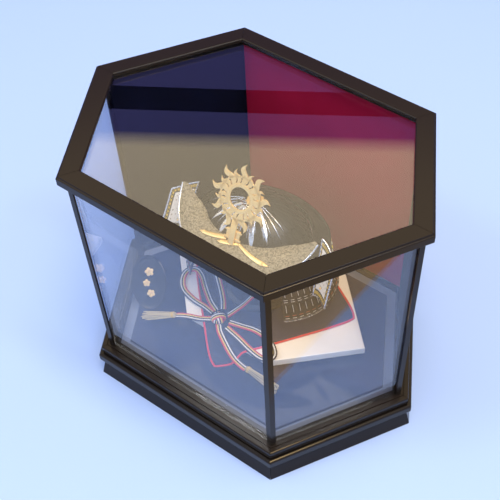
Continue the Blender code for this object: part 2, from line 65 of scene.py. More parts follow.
# Rods keep edges sharp from this many degrees, so that only their caps stay crisp.
ROD_SHARP = 60.0
# How many straight steps stand for the curve between two points of a route.
CURVE_STEPS = 24
Place = Callable[[float, float], Vector]
Pair = tuple[float, float]
Triple = tuple[float, float, float]
Block = tuple[Triple, Triple]
Materials = Sequence[bpy.types.Material]


class Body(str, Enum):
    """The rigid bodies that the pieces made here ride on."""

    BASE = "base"
    HELMET = "helmet"
    CREST = "crest"


# ---------------------------------------------------------------- small tools


def linear(colour: str, alpha: float = 1.0) -> tuple[float, float, float, float]:
    """Turn an sRGB hex colour into linear light.

    Args:
        colour: six hex digits after a hash.
        alpha: the fourth value.

    Returns:
        Red, green, blue and alpha.
    """
    parts = [int(colour[k:k + 2], 16) / 255 for k in (1, 3, 5)]
    red, green, blue = (
        p / 12.92 if p <= 0.04045 else ((p + 0.055) / 1.055) ** 2.4 for p in parts
    )
    return red, green, blue, alpha


def add_node(tree: bpy.types.NodeTree, kind: str, feeds: dict | None = None, **settings) -> bpy.types.Node:
    """Add a node, set it up and link it.

    Args:
        tree: the node tree.
        kind: the node's type, without the ShaderNode that it begins with.
        feeds: socket name or number to a value or to the output that feeds it.
        settings: the node's own properties.

    Returns:
        The new node.
    """
    node = tree.nodes.new("ShaderNode" + kind)
    for key, value in settings.items():
        setattr(node, key, value)
    for key, value in (feeds or {}).items():
        if isinstance(value, bpy.types.NodeSocket):
            tree.links.new(value, node.inputs[key])
        else:
            node.inputs[key].default_value = value
    return node


def per_mm(size: float) -> float:
    """The texture scale that repeats about once in size millimetres."""
    return 1.0 / (size * MM)


def new_mesh(name: str, bm: bmesh.types.BMesh, materials: Materials,
             place: Matrix | None = None, sharp: float = 35.0) -> bpy.types.Object:
    """Finish a bmesh in millimetres as an object at the origin, in metres.

    Args:
        name: the piece's name.
        bm: the shape, which is freed.
        materials: the piece's material slots.
        place: where the shape goes, in millimetres.
        sharp: edges that turn more than this many degrees stay sharp.

    Returns:
        The object.
    """
    if place is not None:
        bmesh.ops.transform(bm, matrix=place, verts=bm.verts)
    bmesh.ops.scale(bm, vec=(MM, MM, MM), verts=bm.verts)
    mesh = bpy.data.meshes.new(name)
    bm.to_mesh(mesh)
    bm.free()
    for finish in materials:
        mesh.materials.append(finish)
    mesh.shade_smooth()
    mesh.set_sharp_from_angle(angle=math.radians(sharp))
    made = bpy.data.objects.new(name, mesh)
    bpy.context.scene.collection.objects.link(made)
    return made


def mount(piece: bpy.types.Object, body: Body, slot: str, *replaced: str) -> bpy.types.Object:
    """Put a piece on its body and hide the solids that it stands for.

    Args:
        piece: the object.
        body: the body that it moves with.
        slot: the record's material slot; not used.
        replaced: names of the solids that it hides.

    Returns:
        The same object.
    """
    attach(piece, body.value)
    if replaced:
        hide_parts(*replaced)
    LOG.info("%s rides on %s: %d faces", piece.name, body.value, len(piece.data.polygons))
    return piece


def rods(name: str, routes: Sequence[Sequence[Vector]], radius: float,
         materials: Materials, picks: Sequence[int] | None = None,
         closed: bool = False, fullness: Callable[[float], float] | None = None,
         roundness: int = 1) -> bpy.types.Object:
    """Round rods, wires or threads along routes in millimetres, as one mesh.

    Args:
        name: the piece's name.
        routes: a list of points for each rod.
        radius: the rods' radius.
        materials: the piece's material slots.
        picks: each rod's slot number; all 0 if left out.
        closed: whether the rods are rings.
        fullness: the share of the radius at a place from 0 to 1 along a rod.
        roundness: 0 gives four sides, 1 six and 2 eight.

    Returns:
        The object.
    """
    curve = bpy.data.curves.new(name, "CURVE")
    curve.dimensions = "3D"
    curve.bevel_depth = radius * MM
    curve.bevel_resolution = roundness
    curve.use_fill_caps = not closed
    for finish in materials:
        curve.materials.append(finish)
    for number, route in enumerate(routes):
        spline = curve.splines.new("POLY")
        spline.points.add(len(route) - 1)
        for k, (point, where) in enumerate(zip(spline.points, route)):
            point.co = (*(Vector(where) * MM), 1.0)
            if fullness:
                point.radius = fullness(k / (len(route) - 1))
        spline.use_cyclic_u = closed
        spline.use_smooth = True
        spline.material_index = picks[number] if picks else 0
    soft = bpy.data.objects.new(name + "_line", curve)
    bpy.context.scene.collection.objects.link(soft)
    bpy.context.view_layer.update()
    mesh = bpy.data.meshes.new_from_object(soft.evaluated_get(bpy.context.evaluated_depsgraph_get()))
    bpy.data.objects.remove(soft)
    mesh.name = name
    bm = bmesh.new()
    bm.from_mesh(mesh)
    bmesh.ops.remove_doubles(bm, verts=bm.verts, dist=WELD * MM)
    bm.to_mesh(mesh)
    bm.free()
    mesh.shade_smooth()
    mesh.set_sharp_from_angle(angle=math.radians(ROD_SHARP))
    made = bpy.data.objects.new(name, mesh)
    bpy.context.scene.collection.objects.link(made)
    return made


def smooth_route(points: Iterable[Sequence[float]], spacing: float) -> list[Vector]:
    """Evenly spaced points on a Catmull-Rom curve through a route's points.

    Args:
        points: the route, in millimetres.
        spacing: the distance between the points given back.

    Returns:
        The points, with both ends of the route.
    """
    stops = [Vector(p) for p in points]
    ends = [stops[0] * 2 - stops[1]] + stops + [stops[-1] * 2 - stops[-2]]
    fine: list[Vector] = []
    for a, b, c, d in zip(ends, ends[1:], ends[2:], ends[3:]):
        for k in range(CURVE_STEPS):
            t = k / CURVE_STEPS
            fine.append((b * 2 + (c - a) * t + (a * 2 - b * 5 + c * 4 - d) * t * t
                         + (b * 3 - a - c * 3 + d) * t ** 3) / 2)
    fine.append(stops[-1])
    route, gone = [fine[0]], 0.0
    for a, b in zip(fine, fine[1:]):
        gone += (b - a).length
        if gone >= spacing:
            route.append(b)
            gone = 0.0
    if (route[-1] - fine[-1]).length < spacing / 2:
        route.pop()
    return route + [fine[-1]]


def route_length(route: Sequence[Vector]) -> float:
    """The length of a route, in the route's own unit."""
    return sum((b - a).length for a, b in zip(route, route[1:]))


def beside(route: Sequence[Vector], offset: float) -> list[Vector]:
    """A route moved sideways, level with the ground.

    Args:
        route: the points.
        offset: how far to the right of the direction of travel.

    Returns:
        The moved points.
    """
    moved = []
    for k, point in enumerate(route):
        ahead = route[min(k + 1, len(route) - 1)] - route[max(k - 1, 0)]
        side = ahead.cross(UP)
        side = side.normalized() if side.length > 1e-6 else Vector((1, 0, 0))
        moved.append(point + side * offset)
    return moved


def thicken(piece: bpy.types.Object, thick: float) -> None:
    """Give a sheet its wall, half on each side.

    Args:
        piece: the sheet.
        thick: the wall, in millimetres.
    """
    wall = piece.modifiers.new("wall", "SOLIDIFY")
    wall.thickness = thick * MM
    wall.offset = 0.0


def round_edges(piece: bpy.types.Object, width: float = 0.35) -> None:
    """Round the sharp edges of a closed piece.

    Args:
        piece: the object.
        width: how far the rounding reaches, in millimetres.
    """
    edge = piece.modifiers.new("edge", "BEVEL")
    edge.width = width * MM
    edge.segments = 2
    edge.limit_method = "ANGLE"


def border(surface: Place, steps: int) -> list[Vector]:
    """Points all round the edge of a sheet.

    Args:
        surface: the sheet's middle surface, from (0, 0) to (1, 1).
        steps: how many points each side has.

    Returns:
        The points, from (0, 0) along u first.
    """
    shares = [k / steps for k in range(steps)]
    edge = [surface(t, 0) for t in shares] + [surface(1, t) for t in shares]
    return edge + [surface(1 - t, 1) for t in shares] + [surface(0, 1 - t) for t in shares]


def leaf(name: str, surface: Place, across: int, along: int, thick: float,
         materials: Materials, place: Matrix | None = None) -> bpy.types.Object:
    """A thin curved sheet with a wall and its own UV map.

    Args:
        name: the piece's name.
        surface: the sheet's middle surface, from (0, 0) to (1, 1), in millimetres.
        across: squares along u.
        along: squares along v.
        thick: the wall, in millimetres.
        materials: the piece's material slots.
        place: where the sheet goes, in millimetres.

    Returns:
        The object, its wall made by a Solidify modifier.
    """
    bm = bmesh.new()
    bm.loops.layers.uv.new("UVMap")
    bmesh.ops.create_grid(bm, x_segments=across, y_segments=along, size=0.5, calc_uvs=True)
    for vert in bm.verts:
        vert.co = surface(vert.co.x + 0.5, vert.co.y + 0.5)
    bmesh.ops.recalc_face_normals(bm, faces=bm.faces)
    made = new_mesh(name, bm, materials, place)
    thicken(made, thick)
    return made


def turned(name: str, profile: Sequence[Pair], steps: int,
           materials: Materials, place: Matrix | None = None,
           shape: Callable[[Vector], Vector] | None = None) -> bpy.types.Object:
    """A turned piece: a profile (radius, z) from the axis round to the axis, spun about Z.

    Args:
        name: the piece's name.
        profile: the profile's points, in millimetres.
        steps: how many steps the full turn has.
        materials: the piece's material slots.
        place: where the piece goes.
        shape: moves each point after the turn, as for ribs.

    Returns:
        The object.
    """
    bm = bmesh.new()
    verts = [bm.verts.new((r, 0.0, z)) for r, z in profile]
    edges = [bm.edges.new(pair) for pair in zip(verts, verts[1:])]
    bmesh.ops.spin(bm, geom=verts + edges, cent=(0, 0, 0), axis=(0, 0, 1),
                   angle=math.tau, steps=steps, use_merge=True)
    bmesh.ops.remove_doubles(bm, verts=bm.verts, dist=WELD)
    bmesh.ops.recalc_face_normals(bm, faces=bm.faces)
    if shape:
        for vert in bm.verts:
            vert.co = shape(vert.co)
    return new_mesh(name, bm, materials, place)


# ---------------------------------------------------------------- finishes


@dataclass(frozen=True)
class Finish:
    """What every finish has: a base colour and how it takes the light."""

    name: str
    colour: str
    roughness: float
    metallic: float = 0.0
    coat: float = 0.0
    sheen: float = 0.0
    specular: float = 0.5

    def build(self) -> bpy.types.Material:
        """Make the material.

        Returns:
            The material, its constants set and its pattern linked.
        """
        made = bpy.data.materials.new(self.name)
        made.use_nodes = True
        tree = made.node_tree
        shader = tree.nodes["Principled BSDF"]
        shader.inputs["Base Color"].default_value = linear(self.colour)
        shader.inputs["Roughness"].default_value = self.roughness
        shader.inputs["Metallic"].default_value = self.metallic
        shader.inputs["Coat Weight"].default_value = self.coat
        shader.inputs["Coat Roughness"].default_value = 0.08
        shader.inputs["Sheen Weight"].default_value = self.sheen
        shader.inputs["Specular IOR Level"].default_value = self.specular
        for socket, feed in self.pattern(tree).items():
            tree.links.new(feed, shader.inputs[socket])
        return made

    def pattern(self, tree: bpy.types.NodeTree) -> dict[str, bpy.types.NodeSocket]:
        """Fine unevenness, as on any worked surface.

        Args:
            tree: the material's node tree.

        Returns:
            The shader's socket names with what feeds them.
        """
        place = add_node(tree, "TexCoord").outputs["Object"]
        grain = add_node(tree, "TexNoise", {
            "Vector": place, "Scale": per_mm(1.4), "Detail": 4.0})
        rough = add_node(tree, "MapRange", {
            "Value": grain.outputs["Fac"], "From Min": 0.3, "From Max": 0.7,
            "To Min": self.roughness * 0.8, "To Max": min(1.0, self.roughness * 1.25)})
        bump = add_node(tree, "Bump", {
            "Height": grain.outputs["Fac"], "Strength": 0.12, "Distance": 0.0002})
        return {"Roughness": rough.outputs["Result"], "Normal": bump.outputs["Normal"]}


@dataclass(frozen=True)
class BlackLacquer(Finish):
    """Wood under sprayed black-brown lacquer, rubbed and polished: deep, glossy, a little wavy."""

    worn: str = "#2a211b"

    def pattern(self, tree: bpy.types.NodeTree) -> dict[str, bpy.types.NodeSocket]:
        """The grain under the lacquer, its orange-peel and a little wear on edges."""
        place = add_node(tree, "TexCoord").outputs["Object"]
        # Open grain 0.8 mm wide and 25 mm long shows only as a faint change of colour.
        long = add_node(tree, "Mapping", {"Vector": place, "Scale": (0.9, 0.9, 6.0)})
        grain = add_node(tree, "TexNoise", {
            "Vector": long.outputs[0], "Scale": per_mm(5.0), "Detail": 5.0, "Roughness": 0.65})
        edge = add_node(tree, "NewGeometry").outputs["Pointiness"]
        rub = add_node(tree, "MapRange", {
            "Value": edge, "From Min": 0.52, "From Max": 0.60, "To Min": 0.0, "To Max": 0.25})
        wood = add_node(tree, "Mix", {
            0: grain.outputs["Fac"], 6: linear(self.colour), 7: linear("#0e0b0a")}, data_type="RGBA")
        both = add_node(tree, "Mix", {
            0: rub.outputs["Result"], 6: wood.outputs[2], 7: linear(self.worn)}, data_type="RGBA")
        # Orange-peel in sprayed lacquer repeats about every 2 mm.
        peel = add_node(tree, "TexNoise", {"Vector": place, "Scale": per_mm(2.0), "Detail": 1.0})
        bump = add_node(tree, "Bump", {
            "Height": peel.outputs["Fac"], "Strength": 0.02, "Distance": 0.0001})
        haze = add_node(tree, "MapRange", {
            "Value": grain.outputs["Fac"],
            "To Min": self.roughness * 0.97, "To Max": self.roughness * 1.06})
        return {"Base Color": both.outputs[2], "Roughness": haze.outputs["Result"],
                "Normal": bump.outputs["Normal"]}


@dataclass(frozen=True)
class FloatGlass:
    """Float glass, cut and polished: clear, mirroring what it meets at a slant."""

    name: str = "float_glass"
    tint: str = "#f6f9ff"
    ior: float = 1.6

    def build(self) -> bpy.types.Material:
        """Make the glass.

        Returns:
            A material that lets light straight through and mirrors by Fresnel.
        """
        made = bpy.data.materials.new(self.name)
        made.use_nodes = True
        tree = made.node_tree
        tree.nodes.remove(tree.nodes["Principled BSDF"])
        clear = add_node(tree, "BsdfTransparent", {"Color": linear(self.tint)})
        mirror = add_node(tree, "BsdfGlossy", {"Color": linear("#ffffff"), "Roughness": 0.0})
        # Light isn't bent here, so the pane's inner side mirrors as its outer side does.
        inner = add_node(tree, "NewGeometry").outputs["Backfacing"]
        ior = add_node(tree, "MapRange", {
            "Value": inner, "To Min": self.ior, "To Max": 1 / self.ior})
        share = add_node(tree, "Fresnel", {"IOR": ior.outputs["Result"]})
        both = add_node(tree, "MixShader", {
            0: share.outputs[0], 1: clear.outputs[0], 2: mirror.outputs[0]})
        tree.links.new(both.outputs[0], tree.nodes["Material Output"].inputs["Surface"])
        return made


@dataclass(frozen=True)
class Flock(Finish):
    """Rayon flock on card: short upright fibre, matt, a little lighter where the nap turns."""

    nap: str = "#20204a"

    def pattern(self, tree: bpy.types.NodeTree) -> dict[str, bpy.types.NodeSocket]:
        """The nap's fibre and its broad shading."""
        place = add_node(tree, "TexCoord").outputs["Object"]
        # Fibre is 0.05 mm; it is drawn at 0.6 mm, the finest that shows.
        fibre = add_node(tree, "TexNoise", {"Vector": place, "Scale": per_mm(0.6), "Detail": 3.0})
        broad = add_node(tree, "TexNoise", {"Vector": place, "Scale": per_mm(60.0), "Detail": 2.0})
        fine = add_node(tree, "MapRange", {
            "Value": fibre.outputs["Fac"], "From Min": 0.2, "From Max": 0.8,
            "To Min": -0.06, "To Max": 0.06})
        both = add_node(tree, "Math", {
            0: fine.outputs["Result"], 1: broad.outputs["Fac"]}, operation="ADD")
        colour = add_node(tree, "Mix", {
            0: both.outputs[0], 6: linear(self.colour), 7: linear(self.nap)}, data_type="RGBA")
        bump = add_node(tree, "Bump", {
            "Height": fibre.outputs["Fac"], "Strength": 0.03, "Distance": 0.0001})
        return {"Base Color": colour.outputs[2], "Normal": bump.outputs["Normal"]}


@dataclass(frozen=True)
class FloorLaminate(Finish):
    """Dark navy high-gloss laminate over the base, its lower ledge coloured a lighter grey-blue."""

    ledge: str = "#6c7488"
    ledge_top: float = 37.4

    def pattern(self, tree: bpy.types.NodeTree) -> dict[str, bpy.types.NodeSocket]:
        """The ledge's colour by height and the sheet's faint cloudiness."""
        place = add_node(tree, "TexCoord").outputs["Object"]
        height = add_node(tree, "SeparateXYZ", {"Vector": place})
        low = add_node(tree, "Math", {
            0: height.outputs["Z"], 1: self.ledge_top * MM}, operation="LESS_THAN")
        cloud = add_node(tree, "TexNoise", {"Vector": place, "Scale": per_mm(18.0), "Detail": 3.0})
        sheet = add_node(tree, "Mix", {
            0: cloud.outputs["Fac"], 6: linear(self.colour), 7: linear("#101d44")}, data_type="RGBA")
        colour = add_node(tree, "Mix", {
            0: low.outputs[0], 6: sheet.outputs[2], 7: linear(self.ledge)}, data_type="RGBA")
        wave = add_node(tree, "Bump", {
            "Height": cloud.outputs["Fac"], "Strength": 0.04, "Distance": 0.0005})
        return {"Base Color": colour.outputs[2], "Normal": wave.outputs["Normal"]}


@dataclass(frozen=True)
class PlainWeave(Finish):
    """Plain-woven cloth: over-and-under threads, matt with a soft sheen."""

    warp: str = "#1c2450"
    width: float = 150.0
    thread: float = 1.2

    def pattern(self, tree: bpy.types.NodeTree) -> dict[str, bpy.types.NodeSocket]:
        """The threads, woven on the cloth's own map."""
        # Thread is 0.3 mm; it is drawn at 1.2 mm, the finest that shows.
        turns = math.pi * self.width / self.thread
        place = add_node(tree, "TexCoord").outputs["UV"]
        parts = add_node(tree, "SeparateXYZ", {"Vector": place})
        waves = []
        for axis in ("X", "Y"):
            run = add_node(tree, "Math", {0: parts.outputs[axis], 1: turns}, operation="MULTIPLY")
            waves.append(add_node(tree, "Math", {0: run.outputs[0]}, operation="SINE"))
        over = add_node(tree, "Math", {
            0: waves[0].outputs[0], 1: waves[1].outputs[0]}, operation="MULTIPLY")
        height = add_node(tree, "MapRange", {
            "Value": over.outputs[0], "From Min": -1.0, "From Max": 1.0})
        slub = add_node(tree, "TexNoise", {"Vector": place, "Scale": 40.0, "Detail": 4.0})
        mix = add_node(tree, "Math", {
            0: height.outputs[0], 1: slub.outputs["Fac"]}, operation="MULTIPLY")
        colour = add_node(tree, "Mix", {
            0: mix.outputs[0], 6: linear(self.colour), 7: linear(self.warp)}, data_type="RGBA")
        bump = add_node(tree, "Bump", {
            "Height": height.outputs[0], "Strength": 0.4, "Distance": 0.0003})
        return {"Base Color": colour.outputs[2], "Normal": bump.outputs["Normal"]}


@dataclass(frozen=True)
class Brocade(Finish):
    """Figured silk over a metal brim: a matt ground with small raised metallic lozenges."""

    figure: str = "#c9bc92"
    shade: str = "#564e3d"
    repeat: float = 7.0

    def pattern(self, tree: bpy.types.NodeTree) -> dict[str, bpy.types.NodeSocket]:
        """The lozenges and the ribbed ground."""
        place = add_node(tree, "TexCoord").outputs["Object"]
        turned_by = add_node(tree, "Mapping", {"Vector": place, "Rotation": (0.3, 0.5, 0.9)})
        cell = add_node(tree, "TexVoronoi", {
            "Vector": turned_by.outputs[0], "Scale": per_mm(self.repeat), "Randomness": 0.35},
            distance="MANHATTAN")
        lozenge = add_node(tree, "MapRange", {
            "Value": cell.outputs["Distance"], "From Min": 0.30, "From Max": 0.42,
            "To Min": 1.0, "To Max": 0.0})
        scroll = add_node(tree, "TexWave", {
            "Vector": turned_by.outputs[0], "Scale": per_mm(16.0), "Distortion": 6.0, "Detail": 2.0})
        # The ground's ribs are 0.5 mm; they are drawn at 1.9 mm.
        rib = add_node(tree, "TexNoise", {"Vector": place, "Scale": per_mm(1.9), "Detail": 3.0})
        speck = add_node(tree, "MapRange", {
            "Value": rib.outputs["Fac"], "From Min": 0.40, "From Max": 0.54})
        ground = add_node(tree, "Mix", {
            0: speck.outputs["Result"], 6: linear(self.shade), 7: linear(self.colour)}, data_type="RGBA")
        faint = add_node(tree, "Math", {0: lozenge.outputs[0], 1: 0.22}, operation="MULTIPLY")
        some = add_node(tree, "Math", {
            0: faint.outputs[0], 1: scroll.outputs["Fac"]}, operation="MULTIPLY")
        colour = add_node(tree, "Mix", {
            0: some.outputs[0], 6: ground.outputs[2], 7: linear(self.figure)}, data_type="RGBA")
        raised = add_node(tree, "Math", {
            0: some.outputs[0], 1: rib.outputs["Fac"]}, operation="ADD")
        bump = add_node(tree, "Bump", {
            "Height": raised.outputs[0], "Strength": 0.5, "Distance": 0.0005})
        return {"Base Color": colour.outputs[2], "Normal": bump.outputs["Normal"]}


@dataclass(frozen=True)
class PrintedLeather(Finish):
    """Smoked and stencilled deerskin: a cream field with small dark lozenges and stitched borders."""

    print_colour: str = "#8d7c6c"
    stitch: str = "#d8b23c"
    ground: str = "#1b1a20"

    def pattern(self, tree: bpy.types.NodeTree) -> dict[str, bpy.types.NodeSocket]:
        """The printed field and the stitched border, on the plate's own map."""
        place = add_node(tree, "TexCoord").outputs["UV"]
        parts = add_node(tree, "SeparateXYZ", {"Vector": place})
        gaps = []
        for axis in ("X", "Y"):
            off = add_node(tree, "Math", {0: parts.outputs[axis], 1: 0.5}, operation="SUBTRACT")
            size = add_node(tree, "Math", {0: off.outputs[0]}, operation="ABSOLUTE")
            gaps.append(add_node(tree, "Math", {0: 0.5, 1: size.outputs[0]}, operation="SUBTRACT"))
        near = add_node(tree, "Math", {
            0: gaps[0].outputs[0], 1: gaps[1].outputs[0]}, operation="MINIMUM")
        # The border is 5 mm wide on a plate about 45 mm high.
        border = add_node(tree, "Math", {0: near.outputs[0], 1: 0.13}, operation="LESS_THAN")
        middle = add_node(tree, "Math", {
            0: near.outputs[0], 1: 0.065, 2: 0.03}, operation="COMPARE")
        # Stitches 2 mm long, one every 4 mm.
        dashes = add_node(tree, "TexChecker", {"Vector": place, "Scale": 22.0})
        stitches = add_node(tree, "Math", {
            0: middle.outputs[0], 1: dashes.outputs["Fac"]}, operation="MULTIPLY")
        cell = add_node(tree, "TexVoronoi", {
            "Vector": place, "Scale": 9.0, "Randomness": 0.2}, distance="MANHATTAN")
        lozenge = add_node(tree, "Math", {
            0: cell.outputs["Distance"], 1: 0.30}, operation="LESS_THAN")
        hide = add_node(tree, "TexNoise", {"Vector": place, "Scale": 30.0, "Detail": 5.0})
        field_mix = add_node(tree, "Mix", {
            0: lozenge.outputs[0], 6: linear(self.colour), 7: linear(self.print_colour)}, data_type="RGBA")
        banded = add_node(tree, "Mix", {
            0: border.outputs[0], 6: field_mix.outputs[2], 7: linear(self.ground)}, data_type="RGBA")
        colour = add_node(tree, "Mix", {
            0: stitches.outputs[0], 6: banded.outputs[2], 7: linear(self.stitch)}, data_type="RGBA")
        raised = add_node(tree, "Math", {
            0: stitches.outputs[0], 1: hide.outputs["Fac"]}, operation="ADD")
        bump = add_node(tree, "Bump", {
            "Height": raised.outputs[0], "Strength": 0.4, "Distance": 0.0003})
        return {"Base Color": colour.outputs[2], "Normal": bump.outputs["Normal"]}


@dataclass(frozen=True)
class Thread(Finish):
    """Plied silk or rayon thread: fine twisted yarn with a soft lustre."""

    deep: str = "#000000"

    def pattern(self, tree: bpy.types.NodeTree) -> dict[str, bpy.types.NodeSocket]:
        """The plies and a little unevenness in the dye."""
        place = add_node(tree, "TexCoord").outputs["Object"]
        # Plies 0.4 mm apart, drawn at 1.1 mm.
        ply = add_node(tree, "TexNoise", {"Vector": place, "Scale": per_mm(1.1), "Detail": 2.0})
        shade = add_node(tree, "MapRange", {
            "Value": ply.outputs["Fac"], "From Min": 0.35, "From Max": 0.65, "To Min": 0.0, "To Max": 0.45})
        colour = add_node(tree, "Mix", {
            0: shade.outputs[0], 6: linear(self.colour), 7: linear(self.deep)}, data_type="RGBA")
        bump = add_node(tree, "Bump", {
            "Height": ply.outputs["Fac"], "Strength": 0.5, "Distance": 0.0003})
        return {"Base Color": colour.outputs[2], "Normal": bump.outputs["Normal"]}


@dataclass(frozen=True)
class WorkedMetal(Finish):
    """Plated or gilt sheet metal, chased and lightly worn: bright, with softer tool marks."""

    dull: str = "#6f4c14"

    def pattern(self, tree: bpy.types.NodeTree) -> dict[str, bpy.types.NodeSocket]:
        """Tool marks, and tarnish in the hollows."""
        place = add_node(tree, "TexCoord").outputs["Object"]
        marks = add_node(tree, "TexNoise", {"Vector": place, "Scale": per_mm(1.6), "Detail": 3.0})
        tarnish = add_node(tree, "TexNoise", {"Vector": place, "Scale": per_mm(9.0), "Detail": 4.0})
        much = add_node(tree, "MapRange", {
            "Value": tarnish.outputs["Fac"], "From Min": 0.45, "From Max": 0.75,
            "To Min": 0.0, "To Max": 0.35})
        colour = add_node(tree, "Mix", {
            0: much.outputs[0], 6: linear(self.colour), 7: linear(self.dull)}, data_type="RGBA")
        rough = add_node(tree, "MapRange", {
            "Value": marks.outputs["Fac"], "To Min": self.roughness * 0.7, "To Max": self.roughness * 1.4})
        bump = add_node(tree, "Bump", {
            "Height": marks.outputs["Fac"], "Strength": 0.25, "Distance": 0.0003})
        return {"Base Color": colour.outputs[2], "Roughness": rough.outputs["Result"],
                "Normal": bump.outputs["Normal"]}


class Stock:
    """Every material in the case, made once."""

    def __init__(self) -> None:
        """Build the materials."""
        self.lacquer = BlackLacquer("black_lacquered_wood", "#0a0809", 0.2, specular=0.2).build()
        self.glass = FloatGlass().build()
        self.navy = Flock("navy_flock", "#05060f", 0.92, specular=0.1, nap="#0c0e24").build()
        self.red = Flock("deep_red_flock", "#8c0a26", 0.92, specular=0.1, nap="#a51636").build()
        # Satin paint over board: cream-white, barely textured.
        self.cream = Finish("cream_satin_paint", "#f2e9dc", 0.5).build()
        self.floor = FloorLaminate("navy_gloss_laminate", "#0c1638", 0.06).build()
        self.riser = Finish("black_stained_wood", "#131215", 0.5).build()
        self.cloth = PlainWeave("navy_cotton_cloth", "#10142e", 0.85, sheen=0.15).build()
        self.piping = Thread("red_satin_piping", "#e00c1e", 0.45, sheen=0.05, deep="#a20714").build()
        self.stand = Finish("ebonised_turned_wood", "#120f0e", 0.35, coat=0.3).build()
        # Lacquered steel: black, smooth, a dull shine.
        self.bowl = WorkedMetal("black_lacquered_steel", "#08080a", 0.34, specular=0.3,
                                dull="#121113").build()
        self.brocade = Brocade("grey_gold_brocade", "#8c8068", 0.75, specular=0.2).build()
        self.leather = PrintedLeather("printed_deerskin", "#dcd5c8", 0.6).build()
        self.plates = WorkedMetal("black_lacquered_lamellae", "#08080a", 0.36, specular=0.25,
                                  dull="#111013").build()
        self.gilt = WorkedMetal("gilt_brass", "#f6d08a", 0.38, metallic=0.8, dull="#e0ae5c").build()
        self.silver = WorkedMetal("silver_plated_brass", "#d5d5d2", 0.25, metallic=1.0,
                                  dull="#8b8780").build()
        self.white_lace = Thread("white_silk_lace", "#e8e4da", 0.6, sheen=0.3, deep="#a8a294").build()
        self.pale_stitch = Thread("pale_silk_stitching", "#c9c6bd", 0.6, sheen=0.1, deep="#98958c").build()
        self.gold_stitch = Thread("gold_silk_stitching", "#e3cf52", 0.5, sheen=0.1, deep="#b89a30").build()
        self.orange_lace = Thread("orange_silk_lace", "#b5562a", 0.6, sheen=0.3, deep="#6f2d10").build()
        self.braid_navy = Thread("navy_silk_braid", "#101738", 0.6, sheen=0.05, deep="#070a1c").build()
        self.braid_black = Thread("black_silk_braid", "#0a0b12", 0.6, sheen=0.05, deep="#040406").build()
        self.braid_gold = Thread("gold_silk_braid", "#e2c052", 0.5, sheen=0.1, deep="#a4822c").build()
        self.braid_red = Thread("red_silk_braid", "#cf0f2c", 0.55, sheen=0.1, deep="#86081a").build()
        self.fringe = Thread("straw_silk_fringe", "#d9c48a", 0.6, sheen=0.3, deep="#94804c").build()


# ---------------------------------------------------------------- the case


@dataclass
class GlazedCase:
    """Plinth, board, rails, posts, frame, panes and panels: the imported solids, dressed."""

    stock: Stock
    glazed: tuple[str, ...] = ("glass_front", "glass_right_front", "glass_left_front", "top_glass")
    red_panels: tuple[str, ...] = ("panel_back",)
    navy_panels: tuple[str, ...] = ("panel_left_back", "panel_right_back")
    lacquered: tuple[str, ...] = ("plinth_", "base_board", "bottom_rail_", "top_rail_", "post_")

    def dress(self) -> None:
        """Give each carried-over solid its finish."""
        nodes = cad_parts
        finishes = {"display_board": self.stock.cream, "board_riser": self.stock.riser,
                    "floor_panel": self.stock.floor, "stand_foot": self.stock.stand,
                    "stand_post": self.stock.stand, "plaque_prop": self.stock.stand}
        finishes.update({name: self.stock.glass for name in self.glazed})
        finishes.update({name: self.stock.red for name in self.red_panels})
        finishes.update({name: self.stock.navy for name in self.navy_panels})
        finishes.update({name: self.stock.lacquer for name in nodes if name.startswith(self.lacquered)})
        for name, finish in finishes.items():
            mesh = nodes[name].data
            mesh.materials.clear()
            mesh.materials.append(finish)
            LOG.info("%s keeps its solid, in %s", name, finish.name)


# ---------------------------------------------------------------- the bow


